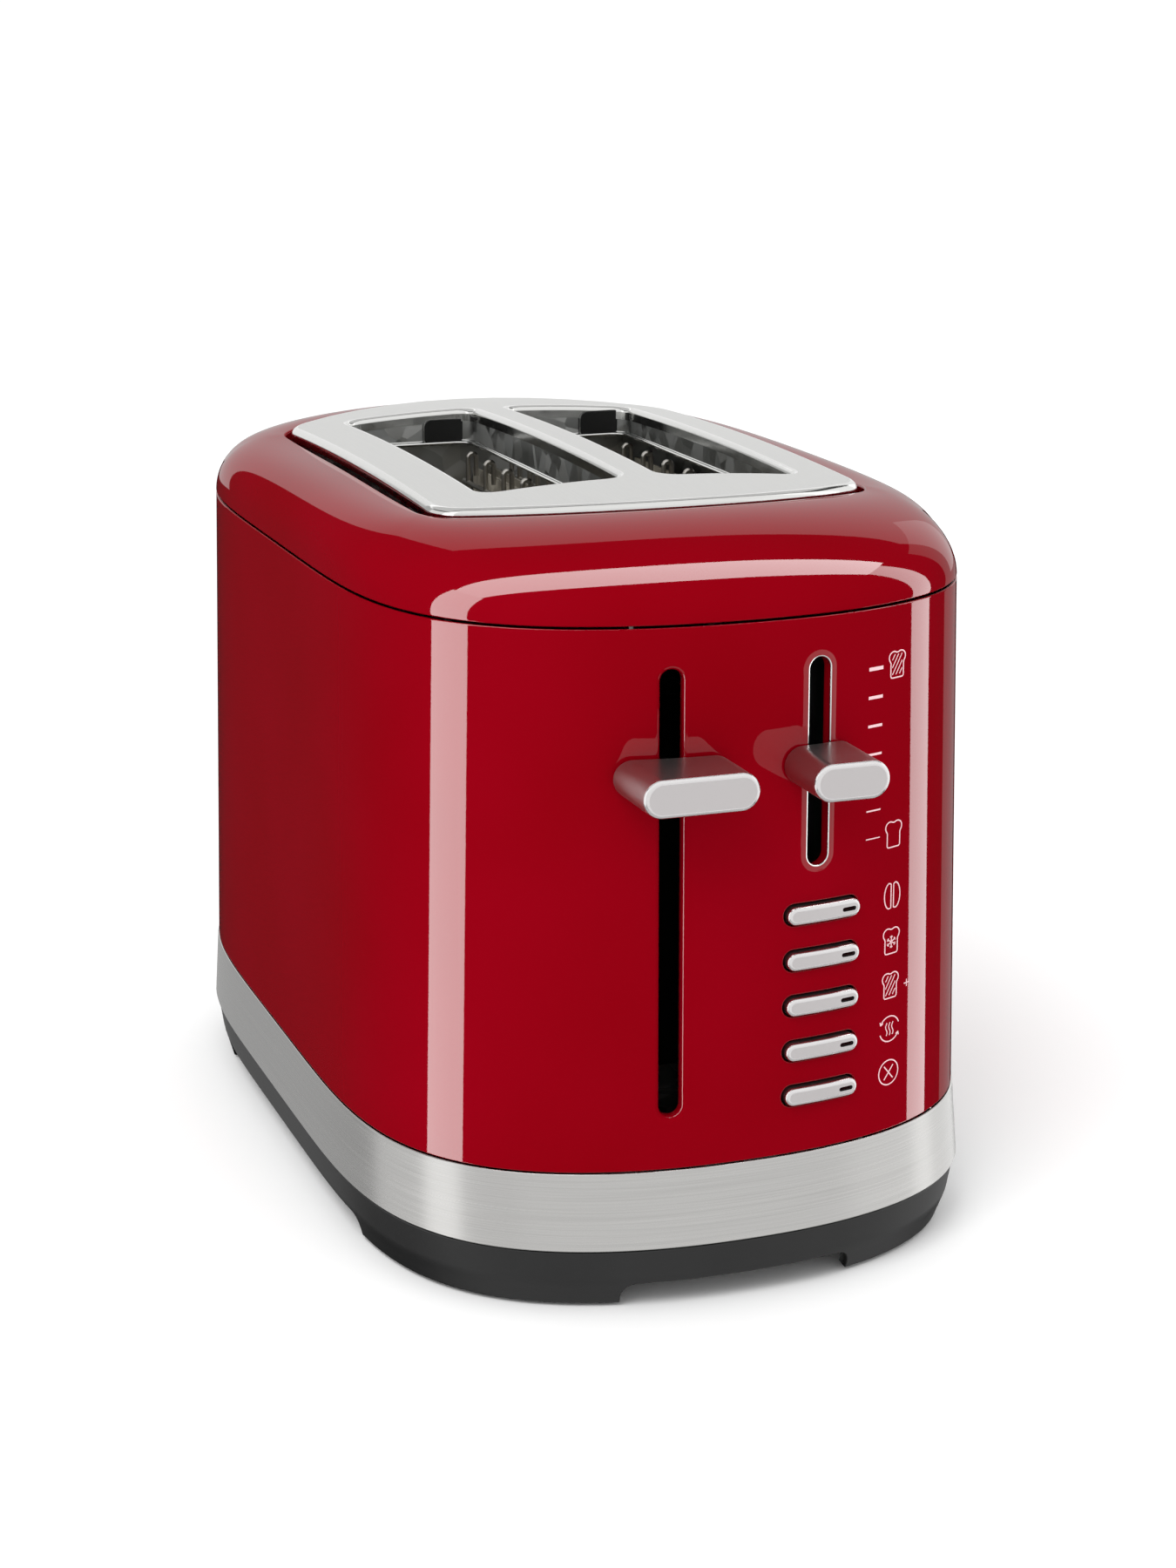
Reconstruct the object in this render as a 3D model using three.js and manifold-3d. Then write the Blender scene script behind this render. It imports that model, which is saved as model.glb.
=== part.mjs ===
// A two-slot, long-bodied pop-up toaster, as an assembly of the pieces that it comes apart into.
// Millimetres, +Z up. -Y is the front, where the lever and the buttons are, and +X is on its right.
import * as THREE from "three";
import { mergeVertices } from "three/addons/utils/BufferGeometryUtils.js";
import Module from "manifold-3d";

const wasm = await Module();
wasm.setup();

// ---------------------------------------------------------------- driving dimensions

// Outside of the body. Its plan is a rounded oblong, |x/a|^sideBow + |y/b|^endBow = 1.
const bodyWidth = 180;
const bodyLength = 290;
const sideBow = 2.22;
const endBow = 4.98;
const bandBottomZ = 17.7;
const bandHeight = 20.7;
const sleeveHeight = 145.6;
const coverRise = 24;
const deckRise = 2.9; // how far the deck's middle stands above the cover's edge
const sleeveDraftX = 3.6;
const sleeveDraftY = 2.3;
const bandFlareX = 0.8;
const bandFlareY = 3.4;

// Sheet, walls and clearances.
const gap = 0.3; // between neighbours that touch on the real object
const bandSheet = 1.2;
const sleeveSheet = 1.2;
const coverWall = 2.4;
const deckSheet = 1;
const chassisSheet = 1;

// Base moulding.
const baseTaperX = 3.2;
const baseTaperY = 1.8;
const baseWall = 3;
const baseWaistOut = 0.62; // the side's bulge, as shares of its width and height
const baseWaistUp = 0.45;
const baseSkirtLift = 0.8; // the rubber pads hold the skirt this far off the worktop
const baseFloorZ = 10;
const baseFloorThickness = 2.5;
const baseLipHeight = 2.6;
const archHeight = 7;
const endArchHalf = 28;
const sideArchHalf = 71;
const archFlank = 7; // how far an arch's flank leans outward on its way down
const padRadius = 7;
const padHeight = 3;
const padPostWall = 1;
const padFromSide = 33;
const padFromEnd = 33;

// Deck and cover opening.
const deckSideMargin = 16.4; // deck beside the outer slot edge
const deckEndMargin = 31.65; // deck past the slots' ends
const deckEndRadius = 95; // of the bow at each end
const deckCornerRadius = 12;
const deckChannel = 1.7; // the open line between the deck and the cover
const deckCrownRadiusX = 476;
const deckCrownRadiusY = 1667;
const deckEdgeDepth = 3.6;
const coverSideDrop = 3.2; // the cover's edge lies lower beside the deck than at its ends
const coverLip = 5;
const shoulderSide = 3; // exponents of the shoulder's curve, 2 is an ellipse
const shoulderEnd = 1.95;
const shoulderBlendY = 72; // from here on the shoulder has its end curve

// Bread slots.
const slotWidth = 40.7;
const slotLength = 135.7;
const slotBridge = 11.2; // deck between the two slots
const slotCornerRadius = 5.5;
const slotLipDepth = 4;

// Chassis.
const endPlateStandoff = 8; // from the end of a slot to the end plate
const chassisMargin = 7.7; // from the outer heaters to the chassis's outside
const chassisBelowDeck = 0.9; // from the deck's turned-down edge to the end plates' tops
const shieldAboveTray = 4;
const cardThickness = 0.6;
const cardSideMargin = 2;
const lifterSlotWidth = 8;
const lifterSlotSpare = 4; // past the lifter's travel, at each end of its slot
const footTabWidth = 9;
const footTabLength = 14;
const screwRadius = 1.5;
const screwHeadRadius = 3.2;
const screwHeadHeight = 2.4;
const screwLength = 6.5;

// Heaters and guards.
const heaterThickness = 0.8;
const heaterAboveBand = 9.6;
const heaterBelowTop = 11; // from the chassis's top to the heaters'
const heaterSetback = 6; // outer heaters, from the slot's outer edge
const heaterSpread = 2.6; // inner heaters, from the middle plane
const ribbonRows = 9;
const ribbonWidth = 2.2;
const ribbonThickness = 0.4;
const ribbonEnd = 4;
const heaterEndGap = 3; // from an end plate to the heaters
const guardWire = 1.6;
const guardInset = 2.9; // open guards, inside the slot's long edges
const guardBars = 8;
const guardAboveBand = 7.6;
const guardBelowTop = 4;
const guardEndGap = 3;
const guardBarEnd = 4;

// Lever, carriage and bread lifters.
const leverX = -20.4;
const leverUp = 21; // high lift above the rest position
const leverEndRoom = 3.3; // from the arm at its stops to the ends of the slot
const leverSlotWidth = 5.9;
const leverSlotAboveBand = 14.8;
const leverSlotBelowSeam = 11.2;
const leverKnobWidth = 31.2;
const knobHeight = 10.1;
const knobProud = 19.4; // from the front of the sleeve at its middle to the knob's face
const knobBevel = 0.8;
const knobClearance = 0.8;
const knobCap = 8; // from a knob's face to the front of the arm or stem in it
const knobReachIn = 30;
const armThickness = 2;
const armHeight = 6;
const lifterTopBelowLever = 11.4;
const lifterBarThickness = 1.6;
const lifterBarHeight = 7;
const lifterRungHalf = 7;
const lifterRungs = 8;
const lifterRungEnd = 8; // from the slot's end to the last rung
const lifterTail = 5; // past the rear end plate
const rungProud = 0.4;
const rungThickness = 1.6;
const carriageStandoff = 6; // from the front end plate to the carriage
const carriageSheet = 1.6;
const carriageSide = 7; // carriage past the lifters' middles
const carriageBelow = 23.4; // below and above the lever's centre line
const carriageAbove = 4.6;
const rodSpacing = 24;
const rodRadius = 2.5;
const rodStandoff = 14; // from the front end plate to the rods
const rodTabThickness = 1.5;
const rodTabBelowTop = 9.5;
const rodTabAboveTray = 3;
const rodTabEdge = 3;
const bushWidth = 9;
const notchRoom = 1.2;
const springRadius = 3.6;
const springWire = 1;
const springTurns = 9;
const turnSteps = 8;
const rodEnd = 1.5; // the rods past their tabs

// Holding magnet.
const magnetX = 27;
const magnetY = 26; // in front of the front end plate
const magnetBaseZ = 41;
const magnetWidth = 20;
const magnetDepth = 12;
const magnetLeg = 5;
const coilWall = 2.4;
const armatureThickness = 2;

// Browning slider.
const sliderX = 20.4;
const sliderSlotWidth = 6.2;
const sliderSlotHeight = 55.6;
const sliderSlotBelowSeam = 10.8;
const sliderKnobWidth = 20.9;
const stemThickness = 3;
const stemHeight = 4;
const potDepth = 6;
const potWidth = 9;
const potBelowSlot = 3;
const potAboveSlot = 2;

// Buttons, from the top.
const buttonNames = ["bagel", "frozen", "extra", "reheat", "cancel"];
const buttonX = 22.3;
const buttonAboveBand = 16.4; // the lowest button's middle
const buttonPitch = 12.5;
const buttonWidth = 21.8;
const buttonHeight = 4.9;
const buttonProud = 2;
const buttonRim = 0.6; // the open line round a button
const buttonDepth = 5;
const buttonTravel = 1.8;
const buttonFlange = 1.4;
const flangeThickness = 1.2;
const plungerRadius = 1.6;
const plungerRoot = 2; // the plunger's start inside the button
const lensOffset = 7.1; // from the button's middle
const lensWidth = 3.6;
const lensHeight = 1.1;
const lensDepth = 2.4;
const lensSunk = 0.4;
const lensRim = 0.25; // the open line round a lens

// Boards behind the front.
const boardSetback = 21; // from the front of the sleeve at its middle
const boardThickness = 1.6;
const boardLeftMargin = 15.4; // past the slider's middle
const boardRightMargin = 23.7; // past the buttons' middle
const boardEndMargin = 7; // inside the band and the seam
const matThickness = 1.2;
const matHalfWidth = 10;
const matEdge = 2.5;
const domeHeight = 3;
const domeRadius = 3;
const linerWall = 1.8;
const linerGap = 0.2; // between the sleeve's clearance and the liner
const linerSlotRoom = 1.2;
const linerButtonRoom = 0.5;
const linerLeftMargin = 17.6; // past the lever's middle
const linerRightMargin = 18.7; // past the buttons' middle
const linerEndMargin = 5;

// Crumb tray, which slides out at the back.
const traySideGap = 12; // from the tray to the chassis's outside
const trayWall = 0.8;
const trayHeight = 8;
const trayFrontSetback = 25; // from the front of the body to the tray's front wall
const trayBackSetback = 11; // from the back of the body to the tray's back wall
const trayHandleHeight = 13.4;
const trayHandleSide = 2; // the handle runs past the tray on each side
const trayPull = 5;
const trayPullHalf = 22;
const trayPullThickness = 2.4;
const trayPullBelowTop = 3;
const trayBracketHalf = 12; // joins the handle to the tray's back wall
const trayBracketHeight = 4;
const trayGateSpare = 1.5; // over the tray, in the end plates
const runnerFromSide = 8;
const runnerFromEnd = 10;
const runnerThickness = 3;

// Mains inlet and terminal block at the back.
const inletAboveBand = 17.6;
const inletHole = 7;
const inletFlange = 9.5;
const inletBore = 3.6;
const inletDepth = 7;
const inletProud = 3;
const inletChamfer = 1;
const terminalWidth = 30;
const terminalHeight = 13;
const terminalDepth = 14;
const terminalAboveInlet = 10;
const terminalBoreRadius = 2.5;
const terminalBoreDepth = 10;

// Faceting.
const planSides = 60;
const shoulderSteps = 6;
const roundSides = 14;
const arcSegments = 5;
const crownColumns = 6;
const crownRows = 4;

// ---------------------------------------------------------------- worked-out levels and places

const bandTopZ = bandBottomZ + bandHeight;
const seamZ = bandTopZ + sleeveHeight;
const deckTopZ = seamZ + coverRise + deckRise;
const sleeveBottom = { a: bodyWidth / 2 - gap, b: bodyLength / 2 - gap, z: bandTopZ + gap };
const sleeveTop = {
  a: bodyWidth / 2 - sleeveDraftX,
  b: bodyLength / 2 - sleeveDraftY,
  z: seamZ - gap,
};
const padX = bodyWidth / 2 - padFromSide;
const padY = bodyLength / 2 - padFromEnd;

const slotCentreX = (slotBridge + slotWidth) / 2;
const slotOuterX = slotBridge / 2 + slotWidth;
const deckHalfWidth = slotOuterX + deckSideMargin;
const deckHalfLength = slotLength / 2 + deckEndMargin;

// The height of the deck's crowned top.
const crownZ = (x, y) =>
  deckTopZ - x ** 2 / (2 * deckCrownRadiusX) - y ** 2 / (2 * deckCrownRadiusY);

const endPlateY = slotLength / 2 + endPlateStandoff;
const chassisHalfWidth = slotOuterX + heaterSetback + chassisMargin;
const deckUndersideZ = crownZ(chassisHalfWidth, endPlateY) - deckEdgeDepth;
const chassisTopZ = deckUndersideZ - chassisBelowDeck;
const heaterBottomZ = bandTopZ + heaterAboveBand;
const heaterTopZ = chassisTopZ - heaterBelowTop;
const guardBottomZ = bandTopZ + guardAboveBand;
const guardTopZ = chassisTopZ - guardBelowTop;

const leverSlotBottomZ = bandTopZ + leverSlotAboveBand;
const leverSlotTopZ = seamZ - leverSlotBelowSeam;
const leverRestZ = leverSlotTopZ - leverEndRoom - armHeight / 2 - leverUp;
const leverDown = leverRestZ - leverSlotBottomZ - leverEndRoom - armHeight / 2;
const lifterTopZ = leverRestZ - lifterTopBelowLever;
const lifterSlotBottomZ = lifterTopZ - leverDown - lifterBarHeight - lifterSlotSpare;
const lifterSlotTopZ = lifterTopZ + leverUp + lifterSlotSpare;
const carriageHalfWidth = slotCentreX + carriageSide;
const rodY = -(endPlateY + rodStandoff);
const rodTabTopZ = chassisTopZ - rodTabBelowTop;

const frontMiddleY = bodyLength / 2;
const knobFaceY = -(frontMiddleY + knobProud - sleeveDraftY / 2);
const sliderSlotTopZ = seamZ - sliderSlotBelowSeam;
const sliderSlotBottomZ = sliderSlotTopZ - sliderSlotHeight;
const buttonZ = (row) =>
  bandTopZ + buttonAboveBand + (buttonNames.length - 1 - row) * buttonPitch;
const lensX = buttonX + lensOffset;
const boardY = -(frontMiddleY - boardSetback);
const boardX = [sliderX - boardLeftMargin, buttonX + boardRightMargin];
const boardZ = [bandTopZ + boardEndMargin, seamZ - boardEndMargin];
const linerX = [leverX - linerLeftMargin, buttonX + linerRightMargin];
const linerZ = [bandTopZ + linerEndMargin, seamZ - linerEndMargin];

const trayHalfWidth = chassisHalfWidth - traySideGap;
const trayFrontY = bodyLength / 2 - trayFrontSetback;
const trayBackY = bodyLength / 2 - trayBackSetback;
const trayBottomZ = bandBottomZ + 3.3;
const trayTopZ = trayBottomZ + trayHeight;
const windowHalfWidth = trayHalfWidth + trayHandleSide + gap;
const windowBottomZ = trayBottomZ - gap;
const windowTopZ = trayBottomZ + trayHandleHeight + gap;
const pullBackY = bodyLength / 2 + bandFlareY + trayPull;
const inletZ = bandTopZ + inletAboveBand;

// ---------------------------------------------------------------- solids

// A closed three.js geometry as a solid for joining and cutting.
function solid(geometry) {
  const plain = geometry.index ? geometry.toNonIndexed() : geometry.clone();
  plain.deleteAttribute("normal");
  plain.deleteAttribute("uv");
  const merged = mergeVertices(plain, 1e-4);
  const mesh = new wasm.Mesh({
    numProp: 3,
    vertProperties: merged.attributes.position.array,
    triVerts: new Uint32Array(merged.index.array),
  });
  return new wasm.Manifold(mesh);
}

function geometryOf(body) {
  const mesh = body.getMesh();
  const positions = new Float32Array(mesh.numVert * 3);
  for (let i = 0; i < mesh.numVert; i++) {
    const start = i * mesh.numProp;
    positions.set(mesh.vertProperties.subarray(start, start + 3), i * 3);
  }
  const geometry = new THREE.BufferGeometry();
  geometry.setAttribute("position", new THREE.BufferAttribute(positions, 3));
  geometry.setIndex(new THREE.BufferAttribute(new Uint32Array(mesh.triVerts), 1));
  return geometry;
}

const join = (first, ...others) => others.reduce((sum, next) => sum.add(next), first);
const cut = (first, ...others) => others.reduce((rest, next) => rest.subtract(next), first);

// A box between two corners, given as spans [low, high] along X, Y and Z.
function block([x0, x1], [y0, y1], [z0, z1]) {
  const box = new THREE.BoxGeometry(x1 - x0, y1 - y0, z1 - z0);
  return solid(box.translate((x0 + x1) / 2, (y0 + y1) / 2, (z0 + z1) / 2));
}

// A sheet of a given thickness whose middle lies at x.
const sheetAtX = (x, thickness, y, z) => block([x - thickness / 2, x + thickness / 2], y, z);

function uprightCylinder(x, y, radius, [z0, z1], sides = roundSides) {
  const cylinder = new THREE.CylinderGeometry(radius, radius, z1 - z0, sides);
  return solid(cylinder.rotateX(Math.PI / 2).translate(x, y, (z0 + z1) / 2));
}

function cylinderAlongY(x, z, radius, [y0, y1], sides = roundSides) {
  const cylinder = new THREE.CylinderGeometry(radius, radius, y1 - y0, sides);
  return solid(cylinder.translate(x, (y0 + y1) / 2, z));
}

// A flat outline in X and Z, run along Y.
function prismAlongY(shape, [y0, y1], bevel = 0) {
  const extrusion = new THREE.ExtrudeGeometry(shape, {
    depth: y1 - y0 - 2 * bevel,
    bevelEnabled: bevel > 0,
    bevelSize: bevel,
    bevelOffset: -bevel,
    bevelThickness: bevel,
    bevelSegments: 1,
    curveSegments: arcSegments,
  });
  return solid(extrusion.rotateX(Math.PI / 2).translate(0, y1 - bevel, 0));
}

// A flat outline in X and Y, run along Z.
function prismAlongZ(shape, [z0, z1]) {
  const options = { depth: z1 - z0, bevelEnabled: false, curveSegments: arcSegments };
  return solid(new THREE.ExtrudeGeometry(shape, options).translate(0, 0, z0));
}

// An oblong with corners of the given radius, centred at (x, y) of its plane.
function roundedOblong(x, y, width, height, radius) {
  const shape = new THREE.Shape();
  const [left, right] = [x - width / 2, x + width / 2];
  const [low, high] = [y - height / 2, y + height / 2];
  shape.moveTo(left + radius, low);
  shape.lineTo(right - radius, low);
  shape.absarc(right - radius, low + radius, radius, -Math.PI / 2, 0);
  shape.lineTo(right, high - radius);
  shape.absarc(right - radius, high - radius, radius, 0, Math.PI / 2);
  shape.lineTo(left + radius, high);
  shape.absarc(left + radius, high - radius, radius, Math.PI / 2, Math.PI);
  shape.lineTo(left, low + radius);
  shape.absarc(left + radius, low + radius, radius, Math.PI, 1.5 * Math.PI);
  return shape;
}

// A long hole or bar with half-round ends, lying or upright; grow widens it all round.
function stadium(x, z, width, height, grow = 0) {
  const radius = Math.min(width, height) / 2 + grow;
  const offset = Math.abs(width - height) / 2;
  const shape = new THREE.Shape();
  if (width > height) {
    shape.absarc(x + offset, z, radius, -Math.PI / 2, Math.PI / 2);
    shape.absarc(x - offset, z, radius, Math.PI / 2, 1.5 * Math.PI);
  } else {
    shape.absarc(x, z + offset, radius, 0, Math.PI);
    shape.absarc(x, z - offset, radius, Math.PI, 2 * Math.PI);
  }
  return shape;
}

// ---------------------------------------------------------------- the body's rounded oblong

// Points of the oblong with half sizes a and b, moved inwards by inset along its normals.
function planPoints(a, b, inset = 0) {
  const points = [];
  for (let i = 0; i < planSides; i++) {
    const angle = (2 * Math.PI * (i + 0.5)) / planSides;
    const [c, s] = [Math.cos(angle), Math.sin(angle)];
    const x = a * Math.sign(c) * Math.abs(c) ** (2 / sideBow);
    const y = b * Math.sign(s) * Math.abs(s) ** (2 / endBow);
    const nx = (sideBow / a) * Math.sign(x) * Math.abs(x / a) ** (sideBow - 1);
    const ny = (endBow / b) * Math.sign(y) * Math.abs(y / b) ** (endBow - 1);
    const length = Math.hypot(nx, ny);
    points.push(new THREE.Vector2(x - (inset * nx) / length, y - (inset * ny) / length));
  }
  return points;
}

const ringAt = (points, z) => points.map((p) => new THREE.Vector3(p.x, p.y, z));

// Faces between rings of equally many points. A hoop joins the last ring to the first; otherwise
// both ends are closed by a fan. Rings run anticlockwise, and go up on the outside.
function loft(rings, hoop) {
  const sides = rings[0].length;
  const positions = [];
  const index = [];
  rings.flat().forEach((p) => positions.push(p.x, p.y, p.z));
  const last = hoop ? rings.length : rings.length - 1;
  for (let r = 0; r < last; r++) {
    const [low, high] = [r * sides, ((r + 1) % rings.length) * sides];
    for (let i = 0; i < sides; i++) {
      const j = (i + 1) % sides;
      index.push(low + i, low + j, high + j, low + i, high + j, high + i);
    }
  }
  if (!hoop) {
    [rings[0], rings.at(-1)].forEach((ring, end) => {
      const centre = positions.length / 3;
      const start = end * (rings.length - 1) * sides;
      positions.push(0, 0, ring[0].z);
      for (let i = 0; i < sides; i++) {
        const j = (i + 1) % sides;
        if (end) index.push(centre, start + i, start + j);
        else index.push(centre, start + j, start + i);
      }
    });
  }
  const geometry = new THREE.BufferGeometry();
  geometry.setAttribute("position", new THREE.Float32BufferAttribute(positions, 3));
  geometry.setIndex(index);
  return solid(geometry);
}

// The full oblong between levels, each {a, b, z}, moved inwards by inset.
const planBlock = (levels, inset = 0) =>
  loft(levels.map(({ a, b, z }) => ringAt(planPoints(a, b, inset), z)), false);

// The sleeve's half sizes at a height.
function sleeveAt(z) {
  const t = (z - sleeveBottom.z) / (sleeveTop.z - sleeveBottom.z);
  return {
    a: THREE.MathUtils.lerp(sleeveBottom.a, sleeveTop.a, t),
    b: THREE.MathUtils.lerp(sleeveBottom.b, sleeveTop.b, t),
    z,
  };
}

// How far out the sleeve's front or back lies at x and z.
function sleeveReach(x, z) {
  const { a, b } = sleeveAt(z);
  return b * (1 - Math.abs(x / a) ** sideBow) ** (1 / endBow);
}

// The layer of the sleeve between two depths, negative outside, within a height span.
function sleeveLayer(outer, inner, [z0, z1]) {
  const whole = planBlock([sleeveAt(z0), sleeveAt(z1)], outer);
  return cut(whole, planBlock([sleeveAt(z0 - 1), sleeveAt(z1 + 1)], inner));
}

const front = [-bodyLength, 0];
const back = [0, bodyLength];

// ---------------------------------------------------------------- materials

const paintRed = { color: 0x9c0614, roughness: 0.18, metalness: 0.1 };
const satinSteel = { color: 0xcdcdcd, roughness: 0.35, metalness: 1 };
const brushedSteel = { color: 0xb9b9b9, roughness: 0.4, metalness: 1 };
const satinKnob = { color: 0xc0bcbc, roughness: 0.35, metalness: 0.9 };
const galvanised = { color: 0xa8aaac, roughness: 0.5, metalness: 0.9 };
const darkPlastic = { color: 0x3d3d3d, roughness: 0.6, metalness: 0 };
const blackPlastic = { color: 0x151515, roughness: 0.5, metalness: 0 };
const rubber = { color: 0x202020, roughness: 0.9, metalness: 0 };
const mica = { color: 0xb9b09a, roughness: 0.7, metalness: 0 };
const boardGreen = { color: 0x1f5a35, roughness: 0.5, metalness: 0 };
const copperCoil = { color: 0xa0522d, roughness: 0.4, metalness: 0.7 };
const lensDark = { color: 0x2b2b2b, roughness: 0.2, metalness: 0 };

const toaster = new THREE.Group();

function add(name, body, finish) {
  const mesh = new THREE.Mesh(geometryOf(body), new THREE.MeshStandardMaterial(finish));
  mesh.name = name;
  toaster.add(mesh);
}

// ---------------------------------------------------------------- base and feet

const baseTopZ = bandBottomZ - gap;
const basePlan = {
  top: { a: bodyWidth / 2 + bandFlareX - 0.6, b: bodyLength / 2 + bandFlareY - 0.6, z: baseTopZ },
  foot: { a: bodyWidth / 2 - baseTaperX, b: bodyLength / 2 - baseTaperY, z: baseSkirtLift },
};
const cornerSigns = [
  ["front_left", -1, -1],
  ["front_right", 1, -1],
  ["rear_left", -1, 1],
  ["rear_right", 1, 1],
];
const screwX = chassisHalfWidth - footTabWidth / 2;
const screwY = endPlateY + footTabLength / 2;

// An arch as an outline in a vertical plane: flat on top, with flanks that lean outward.
function archShape(half) {
  const shape = new THREE.Shape();
  const low = baseSkirtLift - 1;
  shape.moveTo(-half - archFlank, low);
  shape.quadraticCurveTo(-half - archFlank / 2, archHeight, -half, archHeight);
  shape.lineTo(half, archHeight);
  shape.quadraticCurveTo(half + archFlank / 2, archHeight, half + archFlank, low);
  shape.closePath();
  return shape;
}

function makeBase() {
  const { top, foot } = basePlan;
  const waist = {
    a: THREE.MathUtils.lerp(foot.a, top.a, baseWaistOut),
    b: THREE.MathUtils.lerp(foot.b, top.b, baseWaistOut),
    z: THREE.MathUtils.lerp(foot.z, top.z, baseWaistUp),
  };
  const floorTop = baseFloorZ + baseFloorThickness;
  const lipInset = bandFlareX + bandSheet + gap;
  const lipTopZ = baseTopZ + baseLipHeight;
  const lipLevel = (z) => ({ a: top.a, b: top.b, z });
  let base = planBlock([foot, waist, top]);
  base = join(base, planBlock([lipLevel(floorTop), lipLevel(lipTopZ)], lipInset));
  base = cut(
    base,
    planBlock([{ ...foot, z: foot.z - 1 }, { ...waist, z: baseFloorZ }], baseWall),
    planBlock([lipLevel(floorTop), lipLevel(lipTopZ + 1)], lipInset + baseWall),
    prismAlongY(archShape(endArchHalf), [-bodyLength, bodyLength]),
  );
  const sideArch = new THREE.ExtrudeGeometry(archShape(sideArchHalf), {
    depth: 2 * bodyWidth,
    bevelEnabled: false,
    curveSegments: arcSegments,
  });
  sideArch.rotateX(Math.PI / 2).rotateZ(Math.PI / 2).translate(-bodyWidth, 0, 0);
  base = cut(base, solid(sideArch));
  // Runners that carry the crumb tray, standing on the floor.
  for (const side of [-1, 1]) {
    const x = side * (trayHalfWidth - runnerFromSide);
    const runnerX = [x - runnerThickness / 2, x + runnerThickness / 2];
    const runnerY = [-trayFrontY + runnerFromEnd, trayBackY - runnerFromEnd];
    base = join(base, block(runnerX, runnerY, [floorTop - 1, trayBottomZ - gap]));
  }
  for (const [, sx, sy] of cornerSigns) {
    const [px, py] = [sx * padX, sy * padY];
    const post = uprightCylinder(px, py, padRadius + padPostWall, [padHeight + gap, baseFloorZ + 1]);
    base = join(base, post);
    const hole = [baseFloorZ - 1, floorTop + 1];
    base = cut(base, uprightCylinder(sx * screwX, sy * screwY, screwRadius + gap, hole));
  }
  return base;
}

add("base_housing", makeBase(), darkPlastic);
for (const [corner, sx, sy] of cornerSigns) {
  const pad = uprightCylinder(sx * padX, sy * padY, padRadius, [0, padHeight]);
  add("foot_pad_" + corner, pad, rubber);
}

// ---------------------------------------------------------------- band, sleeve and cover

const bandLevels = [
  { a: bodyWidth / 2 + bandFlareX, b: bodyLength / 2 + bandFlareY, z: bandBottomZ },
  { a: bodyWidth / 2, b: bodyLength / 2, z: bandTopZ },
];
const hoopLoft = (levels, wall) =>
  loft(
    [
      ...levels.map(({ a, b, z }) => ringAt(planPoints(a, b), z)),
      ...levels.toReversed().map(({ a, b, z }) => ringAt(planPoints(a, b, wall), z)),
    ],
    true,
  );
const trayWindow = block([-windowHalfWidth, windowHalfWidth], back, [windowBottomZ, windowTopZ]);
add("trim_band", cut(hoopLoft(bandLevels, bandSheet), trayWindow), brushedSteel);

const leverSlotZ = (leverSlotBottomZ + leverSlotTopZ) / 2;
const leverSlotHeight = leverSlotTopZ - leverSlotBottomZ;
const sliderSlotZ = (sliderSlotBottomZ + sliderSlotTopZ) / 2;
const leverSlotShape = (grow) =>
  stadium(leverX, leverSlotZ, leverSlotWidth, leverSlotHeight, grow);
const sliderSlotShape = (grow) =>
  stadium(sliderX, sliderSlotZ, sliderSlotWidth, sliderSlotHeight, grow);
const buttonShape = (row, grow) =>
  stadium(buttonX, buttonZ(row), buttonWidth, buttonHeight, grow);

const sleeveOpenings = [
  prismAlongY(leverSlotShape(0), front),
  prismAlongY(sliderSlotShape(0), front),
  ...buttonNames.map((_, row) => prismAlongY(buttonShape(row, buttonRim), front)),
  cylinderAlongY(0, inletZ, inletHole, back),
];
add("body_shell", cut(hoopLoft([sleeveBottom, sleeveTop], sleeveSheet), ...sleeveOpenings), paintRed);

// The deck's outline: straight sides, ends bowed on a long radius, and a corner arc tangent to both.
function deckShape(grow) {
  const side = deckHalfWidth + grow;
  const corner = deckCornerRadius + grow;
  const bowCentre = deckHalfLength - deckEndRadius;
  const cornerX = deckHalfWidth - deckCornerRadius;
  const between = deckEndRadius - deckCornerRadius;
  const cornerY = bowCentre + Math.sqrt(between ** 2 - cornerX ** 2);
  const lean = Math.acos(cornerX / between);
  const shape = new THREE.Shape();
  shape.moveTo(side, -cornerY);
  shape.absarc(cornerX, cornerY, corner, 0, lean);
  shape.absarc(0, bowCentre, deckEndRadius + grow, lean, Math.PI - lean);
  shape.absarc(-cornerX, cornerY, corner, Math.PI - lean, Math.PI);
  shape.absarc(-cornerX, -cornerY, corner, Math.PI, Math.PI + lean);
  shape.absarc(0, -bowCentre, deckEndRadius + grow, Math.PI + lean, 2 * Math.PI - lean);
  shape.absarc(cornerX, -cornerY, corner, 2 * Math.PI - lean, 2 * Math.PI);
  return shape;
}

// Where a ray from the middle at each plan point's angle meets a flat outline.
function rayPoints(shape, targets) {
  const outline = shape.getPoints(arcSegments);
  return targets.map((target) => {
    const direction = target.clone().normalize();
    let reach = 0;
    outline.forEach((p, i) => {
      const q = outline[(i + 1) % outline.length];
      const edge = q.clone().sub(p);
      const across = direction.cross(edge);
      if (Math.abs(across) < 1e-9) return;
      const along = p.cross(direction) / across;
      const distance = p.cross(edge) / across;
      if (distance > 0 && along >= -1e-6 && along <= 1 + 1e-6) reach = Math.max(reach, distance);
    });
    return direction.multiplyScalar(reach);
  });
}

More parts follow.
